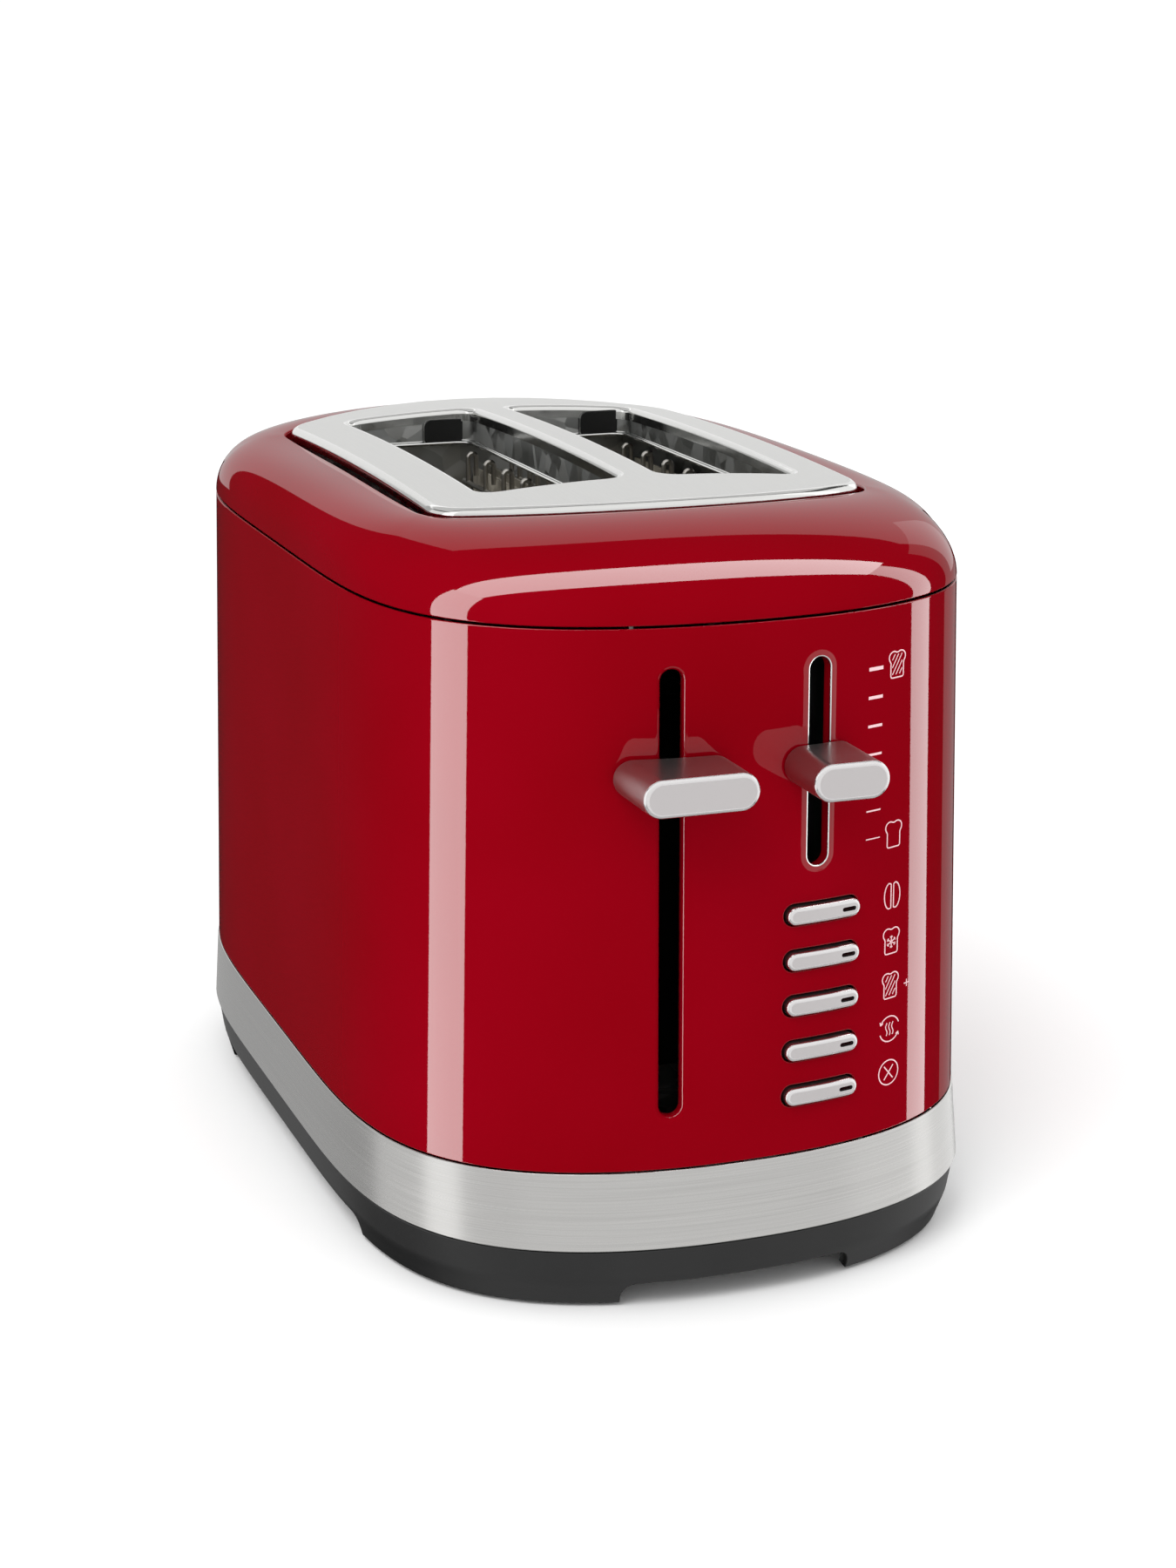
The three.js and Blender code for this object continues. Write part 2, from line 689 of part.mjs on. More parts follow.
// The cover's skin: from the seam over the shoulder to its opening, moved inwards by a wall.
function shoulderRings(wall) {
  const foot = planPoints(sleeveTop.a, sleeveTop.b, wall);
  const edge = rayPoints(deckShape(deckChannel + wall), planPoints(sleeveTop.a, sleeveTop.b));
  const rings = [];
  for (let step = 0; step <= shoulderSteps; step++) {
    const turn = ((Math.PI / 2) * step) / shoulderSteps;
    rings.push(
      foot.map((p, i) => {
        const endness = Math.min(1, Math.abs(edge[i].y) / shoulderBlendY) ** 3;
        const power = 2 / THREE.MathUtils.lerp(shoulderSide, shoulderEnd, endness);
        const run = 1 - Math.max(0, Math.cos(turn)) ** power;
        const rise = Math.sin(turn) ** power;
        const flat = p.clone().lerp(edge[i], run);
        const drop = coverSideDrop * (1 - endness);
        const topZ = crownZ(edge[i].x, edge[i].y) - drop - wall;
        const bottomZ = seamZ + gap;
        return new THREE.Vector3(flat.x, flat.y, THREE.MathUtils.lerp(bottomZ, topZ, rise));
      }),
    );
  }
  return rings;
}

function makeCover() {
  const outer = shoulderRings(0);
  const inner = shoulderRings(coverWall);
  const lowered = (ring, depth) => ring.map((p) => p.clone().setZ(p.z - depth));
  const lip = lowered(outer.at(-1), coverLip);
  const lipInside = lowered(inner.at(-1), coverLip - coverWall);
  return loft([...outer, lip, lipInside, ...inner.toReversed()], true);
}

add("top_cover", makeCover(), paintRed);

// ---------------------------------------------------------------- deck

// A layer that follows the crown, from one depth below it to another.
function crownLayer(topDepth, bottomDepth) {
  const [halfX, halfY] = [deckHalfWidth + 5, deckHalfLength + 5];
  const grid = new THREE.BoxGeometry(2 * halfX, 2 * halfY, 1, crownColumns, crownRows, 1);
  const place = grid.attributes.position;
  for (let i = 0; i < place.count; i++) {
    const depth = place.getZ(i) > 0 ? topDepth : bottomDepth;
    place.setZ(i, crownZ(place.getX(i), place.getY(i)) - depth);
  }
  return solid(grid);
}

const slotShape = (side, grow) => {
  const [width, length] = [slotWidth + 2 * grow, slotLength + 2 * grow];
  return roundedOblong(side * slotCentreX, 0, width, length, slotCornerRadius + grow);
};

function makeDeck() {
  const span = [deckTopZ - 30, deckTopZ + 5];
  const openSlots = [-1, 1].map((side) => prismAlongZ(slotShape(side, 0), span));
  const slotLips = [-1, 1].map((side) => prismAlongZ(slotShape(side, deckSheet), span));
  const whole = prismAlongZ(deckShape(0), span);
  const rim = cut(whole, prismAlongZ(deckShape(-deckSheet), span));
  const sheet = whole.intersect(crownLayer(0, deckSheet));
  const edge = rim.intersect(crownLayer(0, deckEdgeDepth));
  const lips = join(...slotLips).intersect(crownLayer(0, slotLipDepth));
  return cut(join(sheet, edge, lips), ...openSlots);
}

add("top_plate", makeDeck(), satinSteel);

// ---------------------------------------------------------------- chassis

const plateThick = (side) =>
  side < 0 ? [-endPlateY - chassisSheet, -endPlateY] : [endPlateY, endPlateY + chassisSheet];
const footZ = baseFloorZ + baseFloorThickness + gap;
const lifterSlots = (growth, y) =>
  [-1, 1].map((side) => {
    const middle = (lifterSlotBottomZ + lifterSlotTopZ) / 2;
    const height = lifterSlotTopZ - lifterSlotBottomZ;
    const opening = stadium(side * slotCentreX, middle, lifterSlotWidth, height, growth);
    return prismAlongY(opening, y);
  });
const rodTabZ = trayTopZ + rodTabAboveTray;
const magnetTabZ = magnetBaseZ - gap - rodTabThickness;

function makeEndPlate(side) {
  const [y0, y1] = plateThick(side);
  const around = [y0 - 1, y1 + 1];
  const chassisX = [-chassisHalfWidth, chassisHalfWidth];
  let plate = block(chassisX, [y0, y1], [footZ, chassisTopZ]);
  const trayGate = block(
    [-trayHalfWidth - trayHandleSide, trayHalfWidth + trayHandleSide],
    around,
    [footZ - 1, trayTopZ + trayGateSpare],
  );
  plate = cut(plate, trayGate, ...lifterSlots(0, around));
  for (const end of [-1, 1]) {
    const tabX = [end * screwX - footTabWidth / 2, end * screwX + footTabWidth / 2];
    const tabY = side < 0 ? [y0 - footTabLength, y1] : [y0, y1 + footTabLength];
    plate = join(plate, block(tabX, tabY, [footZ, footZ + chassisSheet]));
    const hole = [footZ - 1, footZ + chassisSheet + 1];
    plate = cut(
      plate,
      uprightCylinder(end * screwX, side * screwY, screwRadius + gap, hole),
    );
  }
  return plate;
}

// The front plate also carries the guide rods and the magnet on bent tabs.
function makeFrontEndPlate() {
  let plate = makeEndPlate(-1);
  const tabHalf = rodSpacing / 2 + rodRadius + rodTabEdge;
  const tabY = [rodY - rodRadius - rodTabEdge, -endPlateY];
  for (const z of [rodTabZ, rodTabTopZ]) {
    plate = join(plate, block([-tabHalf, tabHalf], tabY, [z, z + rodTabThickness]));
    for (const side of [-1, 1]) {
      const x = (side * rodSpacing) / 2;
      const hole = [z - 1, z + rodTabThickness + 1];
      plate = cut(plate, uprightCylinder(x, rodY, rodRadius + gap, hole));
    }
  }
  const magnetTab = block(
    [magnetX - magnetWidth / 2, magnetX + magnetWidth / 2],
    [-endPlateY - magnetY - magnetDepth / 2, -endPlateY],
    [magnetTabZ, magnetTabZ + rodTabThickness],
  );
  return join(plate, magnetTab);
}

add("front_end_plate", makeFrontEndPlate(), galvanised);
add("rear_end_plate", makeEndPlate(1), galvanised);

for (const [name, side] of [["side_shield_left", -1], ["side_shield_right", 1]]) {
  const x = side * (chassisHalfWidth - chassisSheet / 2);
  const between = [-endPlateY + gap, endPlateY - gap];
  add(name, sheetAtX(x, chassisSheet, between, [trayTopZ + shieldAboveTray, chassisTopZ]), galvanised);
}

for (const [corner, sx, sy] of cornerSigns) {
  const [x, y] = [sx * screwX, sy * screwY];
  const headTop = baseFloorZ - gap;
  const head = uprightCylinder(x, y, screwHeadRadius, [headTop - screwHeadHeight, headTop]);
  const shank = uprightCylinder(x, y, screwRadius, [headTop - 1, headTop + screwLength], 8);
  add("base_screw_" + corner, join(head, shank), galvanised);
}

const cardBackY = -endPlateY - chassisSheet - gap;
const cardY = [cardBackY - cardThickness, cardBackY];
function makeInsulatingCard() {
  const card = block(
    [-chassisHalfWidth + cardSideMargin, chassisHalfWidth - cardSideMargin],
    cardY,
    [magnetBaseZ + gap, rodTabTopZ - gap],
  );
  return cut(card, ...lifterSlots(1, [cardY[0] - 1, cardY[1] + 1]));
}
add("insulating_card", makeInsulatingCard(), { color: 0x1a1918, roughness: 0.8, metalness: 0 });

// ---------------------------------------------------------------- heaters and guards

const heaterHalfLength = endPlateY - heaterEndGap;

// A mica card with ribbon wire wound round it in level rows.
function makeHeater(x) {
  const along = [-heaterHalfLength, heaterHalfLength];
  let card = sheetAtX(x, heaterThickness, along, [heaterBottomZ, heaterTopZ]);
  const pitch = (heaterTopZ - heaterBottomZ) / (ribbonRows + 1);
  for (let row = 1; row <= ribbonRows; row++) {
    const z = heaterBottomZ + row * pitch;
    const rib = sheetAtX(
      x,
      heaterThickness + 2 * ribbonThickness,
      [-heaterHalfLength + ribbonEnd, heaterHalfLength - ribbonEnd],
      [z - ribbonWidth / 2, z + ribbonWidth / 2],
    );
    card = join(card, rib);
  }
  return card;
}

// A wire rack: two level wires joined by upright ones.
function makeGuard(x) {
  const half = slotLength / 2 - guardEndGap;
  const wire = guardWire / 2;
  const level = (z) => block([x - wire, x + wire], [-half, half], [z - wire, z + wire]);
  let rack = join(level(guardBottomZ), level(guardTopZ));
  for (let bar = 0; bar < guardBars; bar++) {
    const y = (half - guardBarEnd) * ((2 * bar) / (guardBars - 1) - 1);
    rack = join(rack, uprightCylinder(x, y, wire, [guardBottomZ, guardTopZ], 6));
  }
  return rack;
}

for (const [side, sign] of [["left", -1], ["right", 1]]) {
  add("heater_outer_" + side, makeHeater(sign * (slotOuterX + heaterSetback)), mica);
  add("heater_inner_" + side, makeHeater(sign * heaterSpread), mica);
  add("guard_outer_" + side, makeGuard(sign * (slotOuterX - guardInset)), galvanised);
  add("guard_inner_" + side, makeGuard(sign * (slotBridge / 2 + guardInset)), galvanised);
}

// ---------------------------------------------------------------- lever, carriage and lifters

const carriageY = -(endPlateY + chassisSheet + carriageStandoff);
const carriageBack = [carriageY, carriageY + carriageSheet];
const carriageZ = [leverRestZ - carriageBelow, leverRestZ + carriageAbove];

// A bar on edge that runs through both end plates, with rungs across it for the bread.
function makeLifter(side) {
  const x = side * slotCentreX;
  const reach = [carriageBack[1] + gap, endPlateY + chassisSheet + lifterTail];
  const barZ = [lifterTopZ - lifterBarHeight, lifterTopZ];
  let lifter = sheetAtX(x, lifterBarThickness, reach, barZ);
  const half = slotLength / 2 - lifterRungEnd;
  for (let rung = 0; rung < lifterRungs; rung++) {
    const y = -half + (rung * 2 * half) / (lifterRungs - 1);
    const across = [x - lifterRungHalf, x + lifterRungHalf];
    const thick = [y - rungThickness / 2, y + rungThickness / 2];
    const rungZ = [lifterTopZ - rungThickness, lifterTopZ + rungProud];
    lifter = join(lifter, block(across, thick, rungZ));
  }
  return lifter;
}

const armatureTopZ = magnetBaseZ + magnetDepth + magnetLeg + gap + armatureThickness + leverDown;
const armatureTabZ = armatureTopZ + gap;

function makeCarriage() {
  let plate = block([-carriageHalfWidth, carriageHalfWidth], carriageBack, carriageZ);
  for (const side of [-1, 1]) {
    const x = (side * rodSpacing) / 2;
    const bush = block(
      [x - bushWidth / 2, x + bushWidth / 2],
      [rodY - bushWidth / 2, carriageBack[1]],
      carriageZ,
    );
    const bore = [carriageZ[0] - 1, carriageZ[1] + 1];
    plate = cut(join(plate, bush), uprightCylinder(x, rodY, rodRadius + gap, bore));
  }
  // A notch that lets the carriage come down past the magnet's tab.
  const notch = block(
    [magnetX - magnetWidth / 2 - notchRoom, carriageHalfWidth + 1],
    [rodY, carriageBack[1] + 1],
    [carriageZ[0] - 1, magnetTabZ + rodTabThickness + leverDown + notchRoom],
  );
  plate = cut(plate, notch);
  const armatureTab = block(
    [magnetX - magnetLeg, magnetX + magnetLeg],
    [-endPlateY - magnetY - magnetDepth / 2, carriageBack[1]],
    [armatureTabZ, armatureTabZ + carriageSheet],
  );
  return join(plate, armatureTab);
}

const armFrontY = knobFaceY + knobCap;

function makeArm() {
  const along = [armFrontY, carriageBack[0] - gap];
  return sheetAtX(leverX, armThickness, along, [leverRestZ - armHeight / 2, leverRestZ + armHeight / 2]);
}

// A pill-shaped knob whose back follows the sleeve, with a pocket for what carries it.
function makeKnob(x, z, width, pocketWidth, pocketHeight) {
  const bar = prismAlongY(
    stadium(x, z, width, knobHeight),
    [knobFaceY, -bodyLength / 2 + knobReachIn],
    knobBevel,
  );
  const keepOff = planBlock(
    [
      { a: bodyWidth / 2, b: bodyLength / 2, z: z - knobHeight },
      { a: bodyWidth / 2, b: bodyLength / 2, z: z + knobHeight },
    ],
    -knobClearance,
  );
  const pocket = block(
    [x - pocketWidth / 2 - gap, x + pocketWidth / 2 + gap],
    [armFrontY - gap, 0],
    [z - pocketHeight / 2 - gap, z + pocketHeight / 2 + gap],
  );
  return cut(bar, keepOff, pocket);
}

for (const [side, sign] of [["left", -1], ["right", 1]]) {
  add("bread_lifter_" + side, makeLifter(sign), galvanised);
  const x = (sign * rodSpacing) / 2;
  const rodSpan = [rodTabZ - rodEnd, rodTabTopZ + rodTabThickness + rodEnd];
  add("guide_rod_" + side, uprightCylinder(x, rodY, rodRadius, rodSpan), satinSteel);
}
add("carriage", makeCarriage(), galvanised);
add("lever_arm", makeArm(), galvanised);
const leverKnob = makeKnob(leverX, leverRestZ, leverKnobWidth, armThickness, armHeight);
add("lever_knob", leverKnob, satinKnob);

// The lift spring, a helix between the carriage and the upper rod tab.
class Helix extends THREE.Curve {
  constructor(x, y, radius, z0, z1, turns) {
    super();
    Object.assign(this, { x, y, radius, z0, z1, turns });
  }
  getPoint(t, target = new THREE.Vector3()) {
    const angle = 2 * Math.PI * this.turns * t;
    const z = THREE.MathUtils.lerp(this.z0, this.z1, t);
    const [c, s] = [Math.cos(angle), Math.sin(angle)];
    return target.set(this.x + this.radius * c, this.y + this.radius * s, z);
  }
}

function makeSpring() {
  const wire = new THREE.Shape();
  for (let corner = 0; corner < 4; corner++) {
    const angle = (2 * Math.PI * corner) / 4;
    const [u, v] = [(springWire / 2) * Math.cos(angle), (springWire / 2) * Math.sin(angle)];
    if (corner) wire.lineTo(u, v);
    else wire.moveTo(u, v);
  }
  wire.closePath();
  const low = carriageZ[1] + gap + springWire / 2;
  const high = rodTabTopZ - gap - springWire / 2;
  const path = new Helix(0, rodY, springRadius, low, high, springTurns);
  return solid(
    new THREE.ExtrudeGeometry(wire, { steps: springTurns * turnSteps, extrudePath: path, bevelEnabled: false }),
  );
}
add("lift_spring", makeSpring(), satinSteel);

// ---------------------------------------------------------------- holding magnet

const magnetTopZ = magnetBaseZ + magnetLeg + magnetDepth;
const magnetMidY = -endPlateY - magnetY;
const magnetYs = [magnetMidY - magnetDepth / 2, magnetMidY + magnetDepth / 2];
const magnetXs = [magnetX - magnetWidth / 2, magnetX + magnetWidth / 2];
const core = cut(
  block(magnetXs, magnetYs, [magnetBaseZ, magnetTopZ]),
  block(
    [magnetXs[0] + magnetLeg, magnetXs[1] - magnetLeg],
    [magnetYs[0] - 1, magnetYs[1] + 1],
    [magnetBaseZ + magnetLeg, magnetTopZ + 1],
  ),
);
add("magnet_core", core, galvanised);
const legX = [magnetXs[1] - magnetLeg, magnetXs[1]];
const around = (span, margin) => [span[0] - margin, span[1] + margin];
const coilZ = [magnetBaseZ + magnetLeg + gap, magnetTopZ - 1];
const coil = cut(
  block(around(legX, gap + coilWall), around(magnetYs, gap + coilWall), coilZ),
  block(around(legX, gap), around(magnetYs, gap), around(coilZ, 1)),
);
add("magnet_coil", coil, copperCoil);
const armature = block(
  around(magnetXs, -1),
  magnetYs,
  [armatureTopZ - armatureThickness, armatureTopZ],
);
add("armature", armature, galvanised);

// ---------------------------------------------------------------- browning slider

const potY = [boardY - gap - potDepth, boardY - gap];
const stemBackY = potY[0] - gap;
const sliderZ = sliderSlotZ;
const stem = sheetAtX(
  sliderX,
  stemThickness,
  [armFrontY, stemBackY],
  [sliderZ - stemHeight / 2, sliderZ + stemHeight / 2],
);
add("slider_stem", stem, blackPlastic);
add("slider_knob", makeKnob(sliderX, sliderZ, sliderKnobWidth, stemThickness, stemHeight), satinKnob);
const potSpan = [sliderSlotBottomZ - potBelowSlot, sliderSlotTopZ + potAboveSlot];
add("browning_control", sheetAtX(sliderX, potWidth, potY, potSpan), blackPlastic);

// ---------------------------------------------------------------- buttons, lenses and boards

const lensCut = (z, margin, depth) =>
  prismAlongY(stadium(lensX, z, lensWidth, lensHeight, margin), depth);
const flangeDepth = sleeveSheet + gap;
const matFaceY = boardY - gap - matThickness;

buttonNames.forEach((name, row) => {
  const z = buttonZ(row);
  const near = [z - buttonHeight * 2, z + buttonHeight * 2];
  const cap = prismAlongY(buttonShape(row, 0), front).intersect(
    sleeveLayer(-buttonProud, buttonDepth, near),
  );
  const flange = prismAlongY(buttonShape(row, buttonFlange), front).intersect(
    sleeveLayer(flangeDepth, flangeDepth + flangeThickness, near),
  );
  const reach = -sleeveReach(buttonX, z);
  const plungerEnd = matFaceY - domeHeight - gap - buttonTravel;
  const plungerSpan = [reach + buttonDepth - plungerRoot, plungerEnd];
  const plunger = cylinderAlongY(buttonX, z, plungerRadius, plungerSpan, 8);
  const lensFace = -sleeveReach(lensX, z) - buttonProud + lensSunk;
  const pocket = lensCut(z, 0, [lensFace - lensDepth, lensFace + lensDepth + gap]);
  add(name + "_button", cut(join(cap, flange, plunger), pocket), satinKnob);
  const lens = lensCut(z, -lensRim, [lensFace, lensFace + lensDepth]);
  add(name + "_lens", lens, lensDark);
});

// The silicone mat: a dome under each plunger.
let mat = block(
  [buttonX - matHalfWidth, buttonX + matHalfWidth],
  [matFaceY, boardY - gap],
  [buttonZ(4) - domeRadius - matEdge, Math.min(buttonZ(0) + domeRadius + matEdge, potSpan[0] - 1)],
);
buttonNames.forEach((_, row) => {
  const z = buttonZ(row);
  const domeY = [matFaceY - domeHeight, matFaceY + matThickness / 2];
  mat = join(mat, cylinderAlongY(buttonX, z, domeRadius, domeY, 10));
});
add("switch_mat", mat, rubber);

const board = block(
  boardX,
  [boardY, boardY + boardThickness],
  boardZ,
);
add("control_board", board, boardGreen);

// The black moulding behind the sleeve's front, open where the controls pass.
function makeLiner() {
  const depth = sleeveSheet + gap + linerGap;
  const liner = sleeveLayer(depth, depth + linerWall, linerZ).intersect(
    block(linerX, front, [linerZ[0] - 1, linerZ[1] + 1]),
  );
  return cut(
    liner,
    prismAlongY(leverSlotShape(linerSlotRoom), front),
    prismAlongY(sliderSlotShape(linerSlotRoom), front),
    ...buttonNames.map((_, row) => prismAlongY(buttonShape(row, buttonFlange + linerButtonRoom), front)),
  );
}
add("front_liner", makeLiner(), blackPlastic);

// ---------------------------------------------------------------- crumb tray

const trayInside = [-trayHalfWidth + trayWall, trayHalfWidth - trayWall];
const tray = cut(
  block([-trayHalfWidth, trayHalfWidth], [-trayFrontY, trayBackY], [trayBottomZ, trayTopZ]),
  block(
    trayInside,
    [-trayFrontY + trayWall, trayBackY - trayWall],
    [trayBottomZ + trayWall, trayTopZ + 1],
  ),
);
add("crumb_tray", tray, galvanised);

// The handle closes the window in the band, with a lip to pull.
function makeTrayHandle() {
  const span = [trayBottomZ, trayBottomZ + trayHandleHeight];
  const handleHalf = trayHalfWidth + trayHandleSide;
  const skin = hoopLoft(bandLevels, bandSheet).intersect(
    block([-handleHalf, handleHalf], back, span),
  );
  const bandMid = { a: bodyWidth / 2 + bandFlareX, b: bodyLength / 2 + bandFlareY };
  const pullTopZ = span[1] - trayPullBelowTop;
  const pullZ = [pullTopZ - trayPullThickness, pullTopZ];
  const pullLevels = pullZ.map((z) => ({ ...bandMid, z }));
  const pull = planBlock(pullLevels, -trayPull).intersect(
    block([-trayPullHalf, trayPullHalf], [trayBackY, bodyLength], around(pullZ, 1)),
  );
  const inside = planBlock(bandLevels, bandSheet);
  const bracketY = [trayBackY + gap, bodyLength / 2 + bandFlareY];
  const bracketZ = [trayBottomZ, trayBottomZ + trayBracketHeight];
  const bracket = block([-trayBracketHalf, trayBracketHalf], bracketY, bracketZ);
  return join(skin, cut(pull, inside), bracket.intersect(planBlock(bandLevels, bandSheet / 2)));
}
add("crumb_tray_handle", makeTrayHandle(), darkPlastic);

// ---------------------------------------------------------------- mains inlet and terminals

const inletY = sleeveReach(0, inletZ);
const bushing = [
  [inletBore, -inletDepth],
  [inletHole - gap, -inletDepth],
  [inletHole - gap, gap],
  [inletFlange, gap],
  [inletFlange - inletChamfer, inletProud],
  [inletBore + inletChamfer, inletProud],
  [inletBore, inletProud - inletChamfer],
  [inletBore, -inletDepth],
].map(([r, y]) => new THREE.Vector2(r, y));
const inlet = new THREE.LatheGeometry(bushing, 24);
inlet.translate(0, inletY, 0).translate(0, 0, inletZ);
add("cord_inlet", solid(inlet), blackPlastic);

const terminalZ = inletZ + terminalAboveInlet;
const terminalFrontY = endPlateY + chassisSheet + gap;
const terminalBackY = terminalFrontY + terminalDepth;
let terminals = block(
  [-terminalWidth / 2, terminalWidth / 2],
  [terminalFrontY, terminalBackY],
  [terminalZ, terminalZ + terminalHeight],
);
for (const column of [-1, 0, 1]) {
  const x = (column * terminalWidth) / 3;
  const bore = [terminalBackY - terminalBoreDepth, terminalBackY + 1];
  const z = terminalZ + terminalHeight / 2;
  terminals = cut(terminals, cylinderAlongY(x, z, terminalBoreRadius, bore, 10));
}
add("terminal_block", terminals, { color: 0xd8d4c8, roughness: 0.6, metalness: 0 });

// The frame's origin is under the middle of the whole assembly, on the worktop.
toaster.position.y = (-knobFaceY - pullBackY) / 2;

export default toaster;
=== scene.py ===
# %% [markdown]
# # A pop-up toaster, built up as the factory would build it
# The toaster is a pressed and painted sleeve between a brushed band and a smooth cover, with a
# steel deck let into the top. Every size below is in millimetres, counted from the middle of
# the body, and one function turns it into the metres of the shared frame.
# The engineering model is loaded first: it says where each part is and how it moves.

# %% Load the fixed frame
import math
import bpy
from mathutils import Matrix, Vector
from mathutils.geometry import delaunay_2d_cdt


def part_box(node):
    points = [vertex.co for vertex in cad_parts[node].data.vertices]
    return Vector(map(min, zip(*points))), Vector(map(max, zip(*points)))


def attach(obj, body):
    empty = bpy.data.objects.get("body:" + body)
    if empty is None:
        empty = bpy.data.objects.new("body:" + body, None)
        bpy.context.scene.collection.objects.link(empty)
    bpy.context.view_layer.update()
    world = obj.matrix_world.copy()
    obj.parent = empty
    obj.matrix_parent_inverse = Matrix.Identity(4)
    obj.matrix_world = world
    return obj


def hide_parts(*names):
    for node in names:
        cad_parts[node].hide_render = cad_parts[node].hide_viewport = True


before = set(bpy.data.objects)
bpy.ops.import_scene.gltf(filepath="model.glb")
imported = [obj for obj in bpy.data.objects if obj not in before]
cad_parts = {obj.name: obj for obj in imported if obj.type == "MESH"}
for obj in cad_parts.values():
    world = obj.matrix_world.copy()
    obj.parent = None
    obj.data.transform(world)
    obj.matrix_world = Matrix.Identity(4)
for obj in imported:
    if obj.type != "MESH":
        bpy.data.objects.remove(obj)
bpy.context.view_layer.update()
MM = 0.001
band_low, band_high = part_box("trim_band")
MID_Y = (band_low[1] + band_high[1]) / 2
BASE_BODY = "frame"


def metres(point):
    return Vector((point[0] * MM, point[1] * MM + MID_Y, point[2] * MM))


# %% [markdown]
# ## Camera, worktop and studio
# The toaster stands on a white sheet that runs away in every direction, under a pale sky. The
# paint is glossy, so what it reflects matters as much as its colour. Two strips at the sides
# and one overhead make a gate round the front of the toaster, and a broad panel behind it
# whitens the cover's shoulder. A photographer flags such panels off from the metal and lights
# it by its own. Light linking does the same here: one set of soft boxes is seen only by the
# painted pieces, another only by the metal and the grained base. Both are seen as reflections
# alone, while a large soft key light and the sky do the lighting.

# %% Camera
eye = Vector((-292.9, -819.8, 345.9))
aim = Vector((0, 0, 112.4))
camera_data = bpy.data.cameras.new("camera")
camera_data.lens = 68.5
camera_data.sensor_width = 36
camera_data.shift_x = 0.0183
camera_data.shift_y = -0.0167
camera = bpy.data.objects.new("camera", camera_data)
camera.location = metres(eye)
camera.rotation_euler = (aim - eye).to_track_quat("-Z", "Y").to_euler()
bpy.context.collection.objects.link(camera)
bpy.context.scene.camera = camera
bpy.context.scene.view_settings.view_transform = "Standard"
print("camera", round((aim - eye).length), "mm from the toaster")


# %% Colours and nodes
def colour(hex_value):
    """A linear colour from an sRGB hex value."""
    parts = [int(hex_value[i:i + 2], 16) / 255 for i in (1, 3, 5)]
    flat = [p / 12.92 if p <= 0.04045 else ((p + 0.055) / 1.055) ** 2.4 for p in parts]
    return (*flat, 1)


def add_node(tree, kind, inputs=None, **settings):
    """Add a node, set its settings, and set or link its inputs."""
    node = tree.nodes.new(kind)
    for name, value in settings.items():
        setattr(node, name, value)
    for socket, value in (inputs or {}).items():
        if isinstance(value, bpy.types.NodeSocket):
            tree.links.new(value, node.inputs[socket])
        else:
            node.inputs[socket].default_value = value
    return node


# %% Studio light
def softbox(name, place, aim_at, width, height, glow, only=None, lights_up=False):
    """A panel of light. Its glow is the brightness that a mirror would show of it."""
    light = bpy.data.lights.new(name, "AREA")
    light.shape = "RECTANGLE"
    light.size, light.size_y = width * MM, height * MM
    light.energy = glow * math.pi * light.size * light.size_y
    box = bpy.data.objects.new(name, light)
    box.location = metres(place)
    box.rotation_euler = (Vector(aim_at) - Vector(place)).to_track_quat("-Z", "Y").to_euler()
    box.visible_camera = False
    box.visible_diffuse = lights_up
    box.visible_glossy = not lights_up
    if only:
        box.light_linking.receiver_collection = only
    bpy.context.collection.objects.link(box)


metal_pieces = bpy.data.collections.new("metal_pieces")
painted_pieces = bpy.data.collections.new("painted_pieces")
world = bpy.data.worlds.new("pale_studio")
world.use_nodes = True
bpy.context.scene.world = world
sky = world.node_tree.nodes["Background"]
sky.inputs["Color"].default_value = colour("#ffffff")
ray = add_node(world.node_tree, "ShaderNodeLightPath")
SKY_GLOW, SKY_IN_GLOSS = 1.05, 0.02
dimmer = add_node(world.node_tree, "ShaderNodeMapRange", {
    "Value": ray.outputs["Is Glossy Ray"], "To Min": SKY_GLOW, "To Max": SKY_IN_GLOSS,
})
world.node_tree.links.new(dimmer.outputs["Result"], sky.inputs["Strength"])

# The gate's strips, which paint and metal share but see at their own brightness.
AWAY, LOW, HIGH = 1000, -900, 1050
MID, TALL = (LOW + HIGH) / 2, HIGH - LOW
GATE_Y, RIGHT_Y = -145, -180
for name, only, left_glow, right_glow in (("paint", painted_pieces, 7.8, 4.9),
                                          ("metal", metal_pieces, 0.6, 0.4)):
    softbox(name + "_left_strip", (-AWAY, GATE_Y, MID), (0, GATE_Y, MID), 400, TALL,
            left_glow, only)
    softbox(name + "_right_strip", (AWAY, RIGHT_Y, MID), (0, RIGHT_Y, MID), 250, TALL,
            right_glow, only)

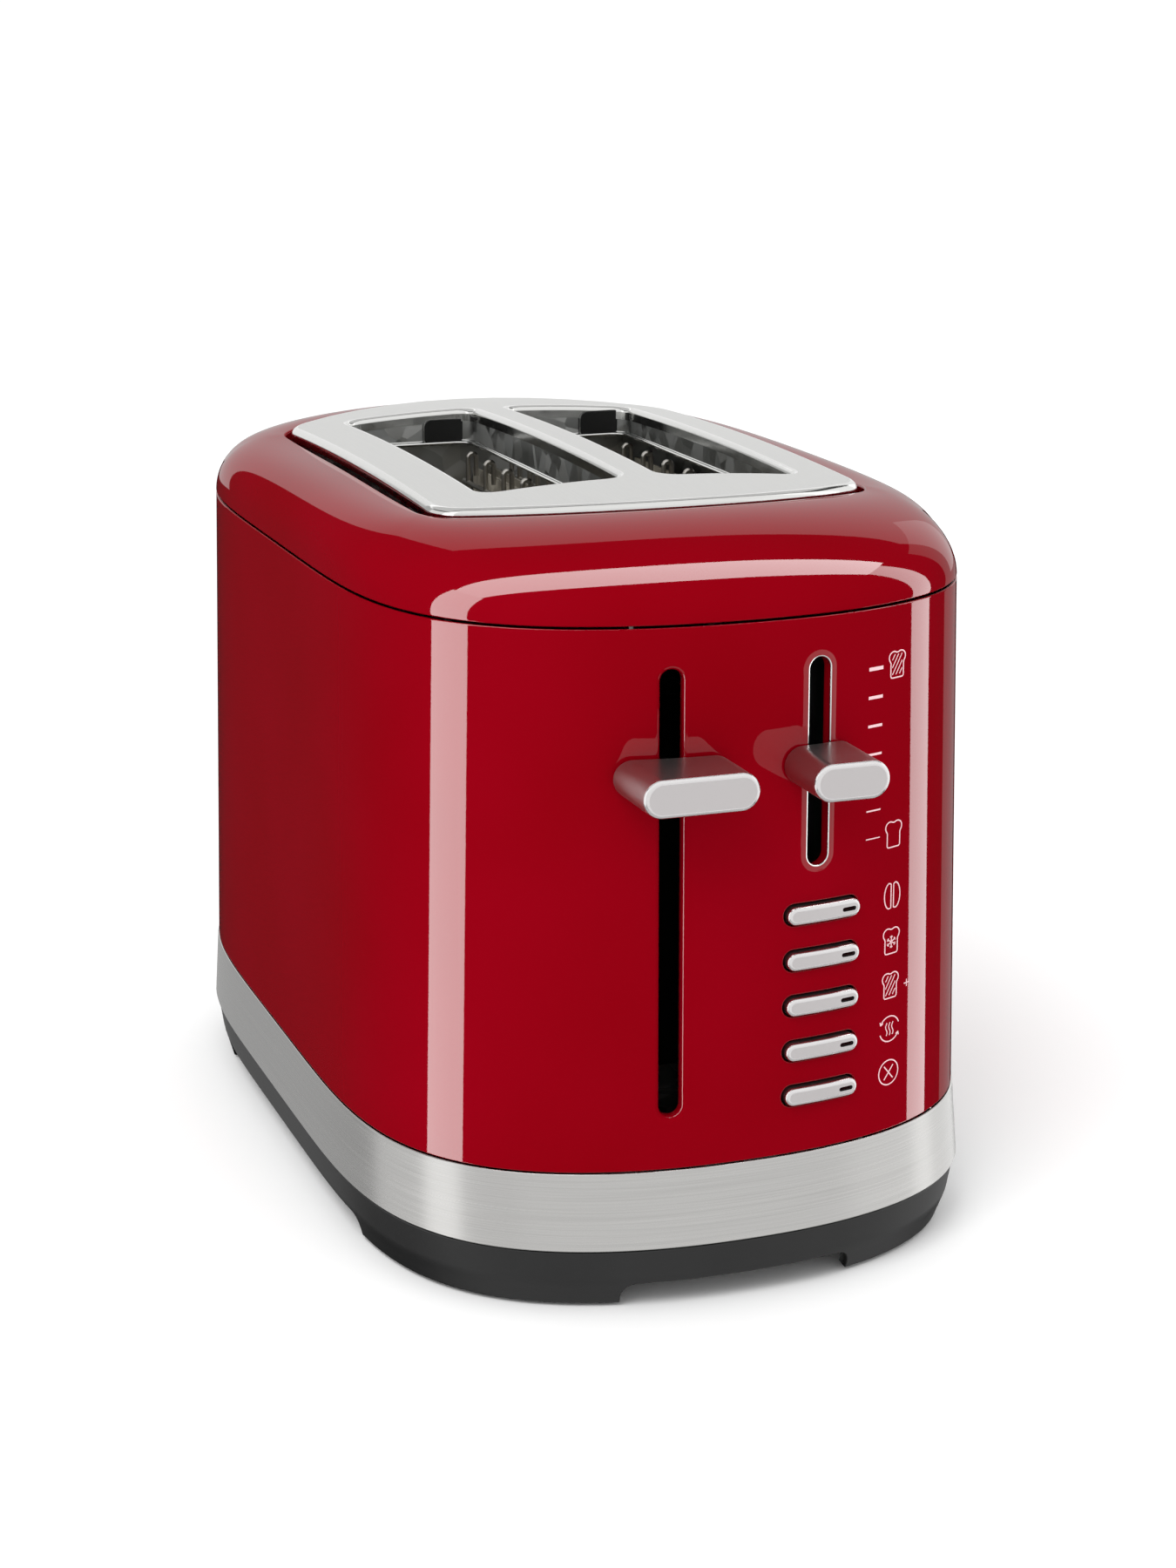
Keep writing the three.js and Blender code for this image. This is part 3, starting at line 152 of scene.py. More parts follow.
# Panels that look straight down or up are aimed a hair off plumb, so that they stay square.
HAIR = 0.1
for name, place, aim_at, width, height, glow in (
        ("top_strip", (0, GATE_Y, HIGH), (0, GATE_Y - HAIR, 0), 2 * AWAY, 345, 8.4),
        ("back", (1075, 1500, 1070), (1075, 0, 1070), 2850, 2100, 0.53),
        ("corner", (1500, 1050, 0), (0, 1050, 0), 1100, 2400, 0.3)):
    softbox("paint_" + name, place, aim_at, width, height, glow, painted_pieces)
for name, place, aim_at, width, height, glow in (
        ("left", (-1600, -100, 50), (0, -100, 50), 3000, 2000, 0.95),
        ("right", (1600, -100, 50), (0, -100, 50), 3000, 2000, 1.15),
        ("front", (0, -1600, 50), (0, 0, 50), 3200, 2000, 1.0),
        ("far", (0, 1700, 200), (0, 0, 200), 4000, 2400, 0.5),
        ("high", (1100, 1500, 750), (1100, 0, 750), 3400, 1200, 0.5),
        ("roof", (0, 800, 1100), (0, 800 - HAIR, 0), 2400, 1500, 0.7),
        ("brow", (0, -825, 1050), (0, -825 - HAIR, 0), 3200, 1550, 1.1),
        ("below", (0, -700, -900), (0, -700 + HAIR, 0), 2400, 1800, 0.6)):
    softbox("metal_" + name, place, aim_at, width, height, glow, metal_pieces)
softbox("key", (-900, -900, 1500), (0, 0, 100), 900, 900, 5.5, lights_up=True)
print("studio:", len(bpy.data.lights), "lights")

# %% Worktop
worktop_mesh = bpy.data.meshes.new("worktop")
FAR = 6.0  # metres
worktop_mesh.from_pydata([(-FAR, -FAR, 0), (FAR, -FAR, 0), (FAR, FAR, 0), (-FAR, FAR, 0)], [],
                         [(0, 1, 2, 3)])
worktop = bpy.data.objects.new("worktop", worktop_mesh)
worktop.location.z = -0.2 * MM
worktop.visible_glossy = False
bpy.context.collection.objects.link(worktop)
white = bpy.data.materials.new("white_card")
white.use_nodes = True
white_card = white.node_tree.nodes["Principled BSDF"]
white_card.inputs["Base Color"].default_value = colour("#ffffff")
white_card.inputs["Roughness"].default_value = 0.9
white_card.inputs["Specular IOR Level"].default_value = 0.0
worktop_mesh.materials.append(white)
print("worktop:", 2 * FAR, "m across")

# %% [markdown]
# ## Finishes
# Each finish starts from the real stuff: enamel baked on steel, sheet steel brushed along its
# length, blasted metal, zinc-dipped sheet, moulded plastic. The patterns are far too fine to
# paint by hand, so they are noise and cells laid out on the object's own coordinates, with
# their scale worked out from a size in millimetres.


# %% A blank finish
def finish(name, base, rough, metal=0.0, **extra):
    """A material with its constant values set on the shader's own sockets."""
    made = bpy.data.materials.new(name)
    made.use_nodes = True
    shader = made.node_tree.nodes["Principled BSDF"]
    shader.inputs["Base Color"].default_value = colour(base)
    shader.inputs["Roughness"].default_value = rough
    shader.inputs["Metallic"].default_value = metal
    for socket, value in extra.items():
        shader.inputs[socket.replace("_", " ")].default_value = value
    return made, made.node_tree, shader


def pattern(tree, stretch):
    """Object coordinates, counted in pattern sizes given in millimetres along x, y and z."""
    where = add_node(tree, "ShaderNodeTexCoord")
    return add_node(tree, "ShaderNodeMapping", {
        "Vector": where.outputs["Object"], "Scale": [1000 / size for size in stretch],
    }).outputs["Vector"]


def spread(tree, value, low, high):
    """Turn a 0 to 1 pattern into a range."""
    return add_node(tree, "ShaderNodeMapRange", {
        "Value": value, "From Min": 0.25, "From Max": 0.75, "To Min": low, "To Max": high,
    }).outputs["Result"]


def tint(tree, shader, value, low, high):
    """Colour a surface between two shades by a 0 to 1 pattern."""
    mix = add_node(tree, "ShaderNodeMix", data_type="RGBA")
    mix.inputs[6].default_value = colour(low)
    mix.inputs[7].default_value = colour(high)
    tree.links.new(value, mix.inputs[0])
    tree.links.new(mix.outputs[2], shader.inputs["Base Color"])


def noise(tree, stretch, detail=2.0):
    """Noise whose lumps have the given sizes in millimetres along x, y and z."""
    return add_node(tree, "ShaderNodeTexNoise", {
        "Vector": pattern(tree, stretch), "Scale": 1.0, "Detail": detail,
    }).outputs["Fac"]


def relief(tree, shader, height, depth, socket="Normal"):
    """Raise a surface by a pattern, with its depth in millimetres."""
    bump = add_node(tree, "ShaderNodeBump", {
        "Height": height, "Distance": depth * MM, "Strength": 1.0,
    })
    tree.links.new(bump.outputs["Normal"], shader.inputs[socket])


# %% [markdown]
# ### Baked red enamel
# The sleeve and cover are mild steel, sprayed red and baked under a clear gloss coat. Up close
# such paint is never flat: it dries with a faint ripple about 2 mm across, called orange peel.
# The clear coat does all the mirroring, so the red under it has no gloss of its own.

# %% Baked red enamel
red_enamel, tree, shader = finish(
    "baked_red_enamel", "#84000f", 0.42, 0.0, Coat_Weight=1.0, Coat_Roughness=0.03, Coat_IOR=1.5)
shader.inputs["Specular IOR Level"].default_value = 0.0
peel = noise(tree, (2.2, 2.2, 2.2), 1.0)
relief(tree, shader, peel, 0.0012, "Coat Normal")
tint(tree, shader, spread(tree, noise(tree, (70, 70, 70)), 0.0, 1.0), "#80000c", "#880012")
print("paint:", red_enamel.name)

# %% [markdown]
# ### Bare steels
# The band is stainless strip, brushed along its length, so its scratches are long and level.
# The deck is the same steel with a finer satin along the slots, and its slot lips are polished
# by the rolling tool. The knobs and buttons are cast zinc, blasted and plated. Metal keeps the
# default IOR, and only its tint, roughness and scratches tell one from another.

# %% Bare steels
brushed_band, tree, shader = finish("brushed_stainless_band", "#b9b8b6", 0.3, 1.0)
scratches = noise(tree, (60, 60, 0.35), 3.0)
tree.links.new(spread(tree, scratches, 0.2, 0.3), shader.inputs["Roughness"])
tint(tree, shader, spread(tree, scratches, 0.0, 1.0), "#b3b2b0", "#c2c1bf")
relief(tree, shader, scratches, 0.006)

satin_steel, tree, shader = finish("satin_stainless_deck", "#cbcbc9", 0.36, 1.0)
grain = noise(tree, (0.5, 40, 0.5), 2.0)
tree.links.new(spread(tree, grain, 0.3, 0.42), shader.inputs["Roughness"])
tint(tree, shader, spread(tree, grain, 0.0, 1.0), "#c6c6c4", "#d2d2d0")

polished_lip, tree, shader = finish("polished_stainless_lip", "#d6d6d4", 0.12, 1.0)
tree.links.new(spread(tree, noise(tree, (3, 3, 3)), 0.09, 0.17), shader.inputs["Roughness"])

knob_metal, tree, shader = finish("blasted_plated_zinc", "#c9c5c5", 0.34, 1.0)
blast = noise(tree, (0.3, 0.3, 0.3), 1.0)
tree.links.new(spread(tree, blast, 0.28, 0.4), shader.inputs["Roughness"])
relief(tree, shader, blast, 0.004)

rim_metal, tree, shader = finish("cut_plated_zinc_rim", "#dcdada", 0.26, 1.0)
tree.links.new(spread(tree, noise(tree, (2, 2, 2)), 0.22, 0.3), shader.inputs["Roughness"])
print("steels:", brushed_band.name, satin_steel.name, polished_lip.name, knob_metal.name)

# %% [markdown]
# ### Zinc-dipped sheet and wire
# The chassis, lifters and tray are galvanised steel. The zinc freezes in flat crystals, the
# spangle, 4 to 8 mm across, each catching the light a little differently. Voronoi cells give
# each crystal its own shade and roughness.

# %% Zinc-dipped sheet and wire
zinc_sheet, tree, shader = finish("galvanised_steel", "#b4b5b4", 0.4, 1.0)
crystals = add_node(tree, "ShaderNodeTexVoronoi", {
    "Vector": pattern(tree, (6, 6, 6)), "Scale": 1.0,
})
shade = add_node(tree, "ShaderNodeSeparateColor", {"Color": crystals.outputs["Color"]})
tint(tree, shader, shade.outputs["Red"], "#9c9e9d", "#c6c7c5")
tree.links.new(spread(tree, shade.outputs["Green"], 0.3, 0.5), shader.inputs["Roughness"])

rack_wire, tree, shader = finish("plated_rack_wire", "#bdbcb8", 0.28, 1.0)
tint(tree, shader, noise(tree, (8, 8, 8)), "#a19d96", "#c6c4bf")

heating_ribbon, tree, shader = finish("nichrome_ribbon", "#7d7a74", 0.38, 1.0)
tint(tree, shader, noise(tree, (5, 5, 5)), "#5f5c57", "#8f8b84")
print("inside:", zinc_sheet.name, rack_wire.name, heating_ribbon.name)

# %% [markdown]
# ### Plastics, mica and the rest
# The base is glass-filled nylon with a fine spark-eroded grain, so it stays matte. The liner
# and inlet are darker phenolic. Mica is a flaky mineral board that carries the heating wire.

# %% Plastics, mica and the rest
base_plastic, tree, shader = finish("glass_filled_nylon", "#161616", 0.46)
grain = noise(tree, (0.45, 0.45, 0.45), 2.0)
relief(tree, shader, grain, 0.02)
tint(tree, shader, spread(tree, noise(tree, (25, 25, 25)), 0.0, 1.0), "#131313", "#191919")

black_plastic, tree, shader = finish("black_phenolic", "#161616", 0.5)
relief(tree, shader, noise(tree, (0.6, 0.6, 0.6), 1.0), 0.015)

foot_rubber, tree, shader = finish("silicone_rubber", "#565656", 0.75)
relief(tree, shader, noise(tree, (0.5, 0.5, 0.5), 2.0), 0.03)

mica_board, tree, shader = finish("mica_board", "#a19b8d", 0.35)
flakes = add_node(tree, "ShaderNodeTexVoronoi", {
    "Vector": pattern(tree, (5, 3, 3)), "Scale": 1.0,
})
shade = add_node(tree, "ShaderNodeSeparateColor", {"Color": flakes.outputs["Color"]})
tint(tree, shader, shade.outputs["Red"], "#8d877a", "#b0aa9c")

circuit_board, tree, shader = finish("black_masked_board", "#101312", 0.4)
copper_tracks = add_node(tree, "ShaderNodeTexBrick", {
    "Vector": pattern(tree, (4, 4, 4)), "Scale": 1.0, "Color1": colour("#0d100f"),
    "Color2": colour("#131615"), "Mortar": colour("#232826"), "Mortar Size": 0.05,
})
tree.links.new(copper_tracks.outputs["Color"], shader.inputs["Base Color"])

# Near-black steel for the carriage, lever arm, spring and armature, seen through the lever's slot:
# painted shade that keeps the slot as dark as the shade inside it.
blackened_steel, tree, shader = finish("blackened_steel", "#141414", 0.5, 0.5)
tint(tree, shader, noise(tree, (9, 9, 9)), "#101010", "#1a1a1a")

enamelled_wire, tree, shader = finish("enamelled_copper_winding", "#8a4524", 0.3, 1.0)
turns = add_node(tree, "ShaderNodeTexWave", {
    "Vector": pattern(tree, (2.4, 2.4, 2.4)), "Scale": 1.0, "Distortion": 0.4,
}, bands_direction="Z")
tint(tree, shader, turns.outputs["Fac"], "#5d2c15", "#a05a34")
relief(tree, shader, turns.outputs["Fac"], 0.1)

lamp_window, tree, shader = finish("smoked_acrylic", "#140506", 0.08, 0.0)
tint(tree, shader, noise(tree, (1.5, 1.5, 1.5)), "#120405", "#1d080a")

white_nylon, tree, shader = finish("white_nylon", "#d8d4c8", 0.5)
tint(tree, shader, noise(tree, (12, 12, 12)), "#d2cec1", "#dedacf")

printed_ink, tree, shader = finish("printed_white_ink", "#f0c6cb", 0.5)
tint(tree, shader, noise(tree, (0.8, 0.8, 0.8)), "#ecbdc3", "#f6d2d6")
print("finishes:", len(bpy.data.materials))

# %% [markdown]
# ## Tools of the press shop
# Nearly every part is a sheet with a rounded edge: it has an outer skin, holes with rolled
# lips, and an inner skin. A shell object gathers points, their normals and faces, so the
# gloss paint can be given the exact normal of the curved surface at every point. Faces made
# from a ring of points and the next ring make the rolled edges.


# %% Shells
class Shell:
    """Points with normals, and faces with the number of their finish."""

    def __init__(self):
        self.points, self.normals, self.faces, self.finishes = [], [], [], []

    def add(self, points, normals):
        start = len(self.points)
        self.points += [Vector(p) for p in points]
        self.normals += [Vector(n).normalized() for n in normals]
        return list(range(start, len(self.points)))

    def face(self, corners, finish_number=0):
        """A face, turned so that it looks the way its points' normals look."""
        corners = list(dict.fromkeys(corners))
        if len(corners) < 3:
            return
        a, b, c = (self.points[i] for i in corners[:3])
        flat = (b - a).cross(c - a)
        if len(corners) > 3:
            flat = flat + (c - a).cross(self.points[corners[3]] - a)
        looks = sum((self.normals[i] for i in corners), Vector())
        if flat.dot(looks) < 0:
            corners.reverse()
        self.faces.append(corners)
        self.finishes.append(finish_number)

    def join(self, ring, following, closed=True, finish_number=0):
        """Faces between two rings of the same length."""
        last = len(ring) if closed else len(ring) - 1
        for i in range(last):
            j = (i + 1) % len(ring)
            self.face([ring[i], ring[j], following[j], following[i]], finish_number)

    def join_all(self, rings, closed=True):
        for ring, following in zip(rings, rings[1:]):
            self.join(ring, following, closed)

    def fill(self, ring, middle, up):
        """Close a level ring with a fan of faces round its middle."""
        hub = self.add([middle], [Vector((0, 0, up))])[0]
        for i in range(len(ring)):
            self.face([ring[i], ring[(i + 1) % len(ring)], hub])

    def lay(self, flat, triangles, surface, depth=0.0, looks=1):
        """Lay a flat field on a surface, looking out of it (1) or into it (-1)."""
        laid = [surface(p[0], p[1], depth) for p in flat]
        ids = self.add([p for p, _ in laid], [n * looks for _, n in laid])
        for corners in triangles:
            self.face([ids[c] for c in corners])
        return ids

    def piece(self, name, finishes, keep_normals=True, sharp=35):
        mesh = bpy.data.meshes.new(name)
        mesh.from_pydata([metres(p) for p in self.points], [], self.faces)
        for made in finishes:
            mesh.materials.append(made)
        mesh.polygons.foreach_set("material_index", self.finishes)
        mesh.polygons.foreach_set("use_smooth", [True] * len(self.faces))
        if keep_normals:
            mesh.normals_split_custom_set_from_vertices(self.normals)
        else:
            mesh.set_sharp_from_angle(angle=math.radians(sharp))
        made = bpy.data.objects.new(name, mesh)
        bpy.context.collection.objects.link(made)
        return made


# Slots whose pieces see the metal's panels. The base is plastic, but its grain shows them too.
PANEL_LIT = ("satin_steel", "brushed_band", "knob_metal", "zinc_sheet", "base_plastic")


def settle(piece, body, slot, *nodes):
    """Attach a piece to the body it rides on, link it to the soft boxes its finish sees, and hide the
    parts it stands for.
    """
    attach(piece, body)
    if slot in PANEL_LIT:
        metal_pieces.objects.link(piece)
    if slot == "red_enamel":
        painted_pieces.objects.link(piece)
    if nodes:
        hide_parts(*nodes)
    print(piece.name, "has", len(piece.data.polygons), "faces")


def merge(first, *others):
    """Join pieces into the first one."""
    with bpy.context.temp_override(active_object=first,
                                   selected_editable_objects=[first, *others]):
        bpy.ops.object.join()


# %% [markdown]
# ### Outlines that can grow
# A slot, a button and the deck are all outlines of arcs joined by straight lines. Each sample
# keeps its point and the direction out of the outline, so the same outline can be grown or
# shrunk without losing count of its points. That is what lets a rolled edge be a few rings.


# %% Outlines that can grow
def arc_outline(arcs, arc_steps, longest):
    """Samples (point, outward) along arcs (cx, cy, radius, start, end), straight in between."""
    samples = []
    for cx, cy, radius, start, end in arcs:
        for step in range(arc_steps + 1):
            turn = start + (end - start) * step / arc_steps
            out = Vector((math.cos(turn), math.sin(turn)))
            point = Vector((cx, cy)) + out * radius
            if samples and step == 0:
                before, side = samples[-1]
                gap = (point - before).length
                if gap < 1e-4:
                    continue
                for cut in range(1, math.ceil(gap / longest)):
                    samples.append((before.lerp(point, cut / math.ceil(gap / longest)), side))
            samples.append((point, out))
    before, side = samples[-1]
    first = samples[0][0]
    pieces = math.ceil((first - before).length / longest)
    samples += [(before.lerp(first, cut / pieces), side) for cut in range(1, pieces)]
    return samples


def pill(cx, cz, width, height, steps=10, longest=4.0):
    """A slot with round ends, lying or standing."""
    radius = min(width, height) / 2
    reach = max(width, height) / 2 - radius
    if width > height:
        arcs = [(cx + reach, cz, radius, -math.pi / 2, math.pi / 2),
                (cx - reach, cz, radius, math.pi / 2, 3 * math.pi / 2)]
    else:
        arcs = [(cx, cz + reach, radius, 0, math.pi),
                (cx, cz - reach, radius, math.pi, 2 * math.pi)]
    return arc_outline(arcs, steps * 2, longest)


def rounded_box(cx, cy, width, length, radius, steps=8, longest=5.0):
    """A box with rounded corners."""
    x, y = width / 2 - radius, length / 2 - radius
    quarter = math.pi / 2
    arcs = [(cx + x, cy + y, radius, 0, quarter), (cx - x, cy + y, radius, quarter, 2 * quarter),
            (cx - x, cy - y, radius, 2 * quarter, 3 * quarter),
            (cx + x, cy - y, radius, 3 * quarter, 4 * quarter)]
    return arc_outline(arcs, steps, longest)


def grown(outline, amount):
    """An outline's points, moved outwards, or inwards by a negative amount."""
    return [point + out * amount for point, out in outline]


# %% [markdown]
# ### A sheet with holes
# A flat field of points, the edge of the sheet and the rims of its holes are joined by a
# Delaunay triangulation, and every point is then laid on the curved surface. The surface is
# any function that takes two coordinates and a depth, and gives a place and a normal.


# %% A sheet with holes
def inside(point, ring):
    """Whether a point lies within a ring: a line from it crosses the ring an odd number of times."""
    x, y = point
    odd = False
    for (ax, ay), (bx, by) in zip(ring, ring[1:] + ring[:1]):
        if (ay > y) != (by > y) and x < ax + (y - ay) * (bx - ax) / (by - ay):
            odd = not odd
    return odd


def field(edge, holes, spacing_u, spacing_v, keep_off):
    """Triangles that fill an edge ring but not the hole rings: (points, triangles)."""
    points = [Vector(p) for p in edge]
    borders = [(i, (i + 1) % len(edge)) for i in range(len(edge))]
    for ring in holes:
        start = len(points)
        points += [Vector(p) for p in ring]
        borders += [(start + i, start + (i + 1) % len(ring)) for i in range(len(ring))]
    rings = [[tuple(p) for p in edge]] + [[tuple(p) for p in ring] for ring in holes]
    us, vs = [p[0] for p in edge], [p[1] for p in edge]
    columns = max(1, round((max(us) - min(us)) / spacing_u))
    rows = max(1, round((max(vs) - min(vs)) / spacing_v))
    fixed = [Vector(p) for p in points]
    for i in range(1, columns):
        for j in range(1, rows):
            spot = Vector((min(us) + (max(us) - min(us)) * i / columns,
                           min(vs) + (max(vs) - min(vs)) * j / rows))
            if not inside(spot, rings[0]) or any(inside(spot, ring) for ring in rings[1:]):
                continue
            if min((spot - p).length_squared for p in fixed) > keep_off ** 2:
                points.append(spot)
    spots, _, faces, origins, _, _ = delaunay_2d_cdt(points, borders, [], 0, 1e-6)
    if len(spots) != len(points):
        raise ValueError("two border points of a sheet coincide")
    triangles = []
    for corners in faces:
        middle = sum((spots[c] for c in corners), Vector((0, 0))) / 3
        if inside(middle, rings[0]) and not any(inside(middle, ring) for ring in rings[1:]):
            triangles.append([origins[c][0] for c in corners])
    return points, triangles


def roll_edge(shell, before, outline, surface, radius, steps, finish_number=0):
    """Rings that turn a sheet's edge over from its skin to a wall."""
    for step in range(1, steps + 1):
        turn = math.pi / 2 * step / steps
        ring = [lip_point(p, out, surface, radius, turn) for p, out in outline]
        following = shell.add([place for place, _ in ring], [normal for _, normal in ring])
        shell.join(before, following, finish_number=finish_number)
        before = following
    return before


def rolled_lip(shell, ring_ids, outline, surface, radius, depth, sheet, steps=5, finish_number=0):
    """Roll the rim of a hole inwards: from the skin, round a radius, down to a depth."""
    before = roll_edge(shell, ring_ids, outline, surface, radius, steps, finish_number)
    wall = [surface(p.x, p.y, depth)[0] for p, _ in outline]
    across = [lip_point(p, out, surface, radius, math.pi / 2)[1] for p, out in outline]
    wall_end = shell.add(wall, across)
    shell.join(before, wall_end, finish_number=finish_number)
    back = [surface(*(p + out * sheet), depth)[0] for p, out in outline]
    back_ids = shell.add(back, [-n for n in across])
    shell.join(wall_end, back_ids)
    return back_ids


def roll_openings(shell, skins, start, openings, surface, steps=5, finish_number=0):
    """Roll each opening (outline, radius, depth, sheet) of a skin, and close it to the inner skin."""
    for outline, radius, depth, sheet in openings:
        stop = start + len(outline)
        back = rolled_lip(shell, skins[0][start:stop], outline, surface, radius, depth, sheet,
                          steps, finish_number)
        shell.join(back, skins[1][start:stop])
        start = stop


def lip_point(point, out, surface, radius, turn):
    """A point of a rolled edge. Its normal leans towards the opening as the edge turns."""
    at = point + out * radius * (1 - math.sin(turn))
    sunk = radius * (1 - math.cos(turn))
    place, normal = surface(at.x, at.y, sunk)
    ahead = surface(*(at - out * 0.01), sunk)[0]
    return place, normal * math.cos(turn) + (ahead - place).normalized() * math.sin(turn)


# %% [markdown]
# ## The body's outline
# From above, the body is neither an oval nor a box: its sides are nearly straight and its ends
# bow out. One rule gives that outline at every level: the sum of |x/a| to one power and |y/b|
# to another is 1. A higher power on y squares the corners off. The sleeve, band, base and
# cover all follow it, each with its own half width a and half length b.

# %% The body's outline
SIDE_BOW, END_BOW = 2.22, 4.98
AROUND = 240


def lame(turn, a, b):
    """A point of the outline with half width a and half length b."""
    c, s = math.cos(turn), math.sin(turn)
    x = math.copysign(a * abs(c) ** (2 / SIDE_BOW), c)
    return Vector((x, math.copysign(b * abs(s) ** (2 / END_BOW), s)))


def even_turns(a, b, count):
    """Turns that space points evenly along the outline, found on a fine quarter of it."""
    many, crowd = 4000, 2.5
    fine = [math.pi / 2 * (k / many) ** crowd for k in range(many + 1)]
    reach = [0.0]
    spots = [lame(turn, a, b) for turn in fine]
    for p, q in zip(spots, spots[1:]):
        reach.append(reach[-1] + (q - p).length)
    quarter, at = [], 0
    for k in range(count // 4):
        goal = reach[-1] * k / (count // 4)
        while reach[at + 1] < goal:
            at += 1
        share = (goal - reach[at]) / (reach[at + 1] - reach[at])
        quarter.append(fine[at] + share * (fine[at + 1] - fine[at]))
    turns = list(quarter)
    turns += [math.pi - t for t in reversed(quarter[1:])]
    turns.insert(len(quarter), math.pi / 2)
    return turns + [math.pi + t for t in turns]


MEAN_HALF, MEAN_LONG = 88, 144
TURNS = even_turns(MEAN_HALF, MEAN_LONG, AROUND)


def out_of(x, y, a, b, draft_a=0.0, draft_b=0.0):
    """The normal of a wall whose half sizes change by a draft for each mm of height."""
    u, v = abs(x / a), abs(y / b)
    across = math.copysign(SIDE_BOW * u ** (SIDE_BOW - 1) / a, x)
    along = math.copysign(END_BOW * v ** (END_BOW - 1) / b, y)
    rise = -SIDE_BOW * u ** SIDE_BOW * draft_a / a - END_BOW * v ** END_BOW * draft_b / b
    return Vector((across, along, rise)).normalized()


class Hoop:
    """A drafted wall between two levels, each (half width, half length, height)."""

    def __init__(self, low, high):
        self.low, self.high = low, high
        tall = high[2] - low[2]
        self.draft_a, self.draft_b = (high[0] - low[0]) / tall, (high[1] - low[1]) / tall

    def sizes(self, z):
        up = z - self.low[2]
        return self.low[0] + self.draft_a * up, self.low[1] + self.draft_b * up

    def normal(self, x, y, z):
        return out_of(x, y, *self.sizes(z), self.draft_a, self.draft_b)

    def at_turn(self, turn, z, depth=0.0):
        spot = lame(turn, *self.sizes(z))
        normal = self.normal(spot.x, spot.y, z)
        return Vector((*spot, z)) - normal * depth, normal

    def at_x(self, side):
        """The wall's front (side -1) or back (side 1) as a surface of x and z."""
        def surface(x, z, depth=0.0):
            a, b = self.sizes(z)
            y = side * b * (1 - abs(x / a) ** SIDE_BOW) ** (1 / END_BOW)
            normal = self.normal(x, y, z)
            return Vector((x, y, z)) - normal * depth, normal
        return surface


print("outline has", len(TURNS), "samples")

# %% [markdown]
# ### A pressed hoop with openings
# The sleeve and the band are both closed hoops with openings on one face. The face with the
# openings is a sheet with holes, laid on the wall from x and z; the rest of the hoop is a
# plain grid that shares its upright edges with it. Both edges of the hoop are rounded over.


# %% A pressed hoop with openings
LEANS = [math.radians(lean) for lean in (30, 60, 90)]


def rolled(at, out, roll, lean, up):
    """A point and normal of an edge rolled over upwards (up 1) or downwards (up -1)."""
    flat = out.to_2d().to_3d().normalized()
    place = at - flat * roll * (1 - math.cos(lean)) + Vector((0, 0, up * roll * math.sin(lean)))
    return place, flat * math.cos(lean) + Vector((0, 0, up * math.sin(lean)))


def round_over(shell, outer, inner, roll, up):
    """Round a hoop's edge over from its outer ring, and close it to its inner one."""
    before = outer
    for lean in LEANS:
        ring = [rolled(shell.points[i], shell.normals[i], roll, lean, up) for i in outer]
        following = shell.add([place for place, _ in ring], [out for _, out in ring])
        shell.join(before, following)
        before = following
    shell.join(before, inner)


def turns_behind(hoop, side, half_face, z):
    """The turns that the face with the openings leaves to the rest, from its left to its right."""
    corner_turn = math.acos((half_face / hoop.sizes(z)[0]) ** (SIDE_BOW / 2))
    clear = 0.004
    rest = [t for t in TURNS if abs(math.sin(t)) < math.sin(corner_turn) - clear
            or math.copysign(1, math.sin(t)) != side]
    seam = math.pi * 1.5 if side < 0 else math.pi / 2
    return sorted((t - 2 * math.pi if t > seam else t for t in rest), reverse=True)


def pressed_hoop(name, hoop, side, half_face, openings, sheet, edge, finishes, columns, rows):
    """A hoop with openings (outline, radius, depth, sheet) on its front (-1) or back (1)."""
    shell = Shell()
    low, high = hoop.low[2] + edge, hoop.high[2] - edge
    levels = [low + (high - low) * r / rows for r in range(rows + 1)]
    xs = [half_face * (2 * c / columns - 1) for c in range(columns + 1)]
    border = [(x, low) for x in xs] + [(half_face, z) for z in levels[1:-1]]
    border += [(x, high) for x in reversed(xs)] + [(-half_face, z) for z in levels[-2:0:-1]]
    rings = [grown(outline, radius) for outline, radius, _, _ in openings]
    flat, triangles = field(border, rings, 2 * half_face / columns, (high - low) / rows, 1.3)
    surface = hoop.at_x(side)
    skins = [shell.lay(flat, triangles, surface, depth, looks)
             for depth, looks in ((0.0, 1), (sheet, -1))]
    rest = turns_behind(hoop, side, half_face, (low + high) / 2)
    at = {p: i for i, p in enumerate(border)}
    edges = []
    for depth, looks, ids in ((0.0, 1, skins[0]), (sheet, -1, skins[1])):
        first = [ids[at[(-half_face, z)]] for z in levels]
        last = [ids[at[(half_face, z)]] for z in levels]
        strips = [first]
        for turn in rest:
            laid = [hoop.at_turn(turn, z, depth) for z in levels]
            strips.append(shell.add([p for p, _ in laid], [n * looks for _, n in laid]))
        strips.append(last)
        shell.join_all(strips, closed=False)
        front = [(ids[at[(x, low)]], ids[at[(x, high)]]) for x in xs[1:-1]]
        bottom = [s[0] for s in strips] + [f[0] for f in reversed(front)]
        top = [s[-1] for s in strips] + [f[1] for f in reversed(front)]
        edges.append((bottom, top))
    (outer_low, outer_high), (inner_low, inner_high) = edges
    round_over(shell, outer_low, inner_low, edge, -1)
    round_over(shell, outer_high, inner_high, edge, 1)
    roll_openings(shell, skins, len(border), openings, surface)
    return shell.piece(name, finishes)


# %% [markdown]
# ## The sleeve
# The sleeve is deep-drawn sheet steel, a little narrower at the top so that it leaves its die.
# The lever's slot has a softly rolled lip. The slider's is folded in crisply, and each button
# has a tight edge, so that only a fine dark line shows round it.

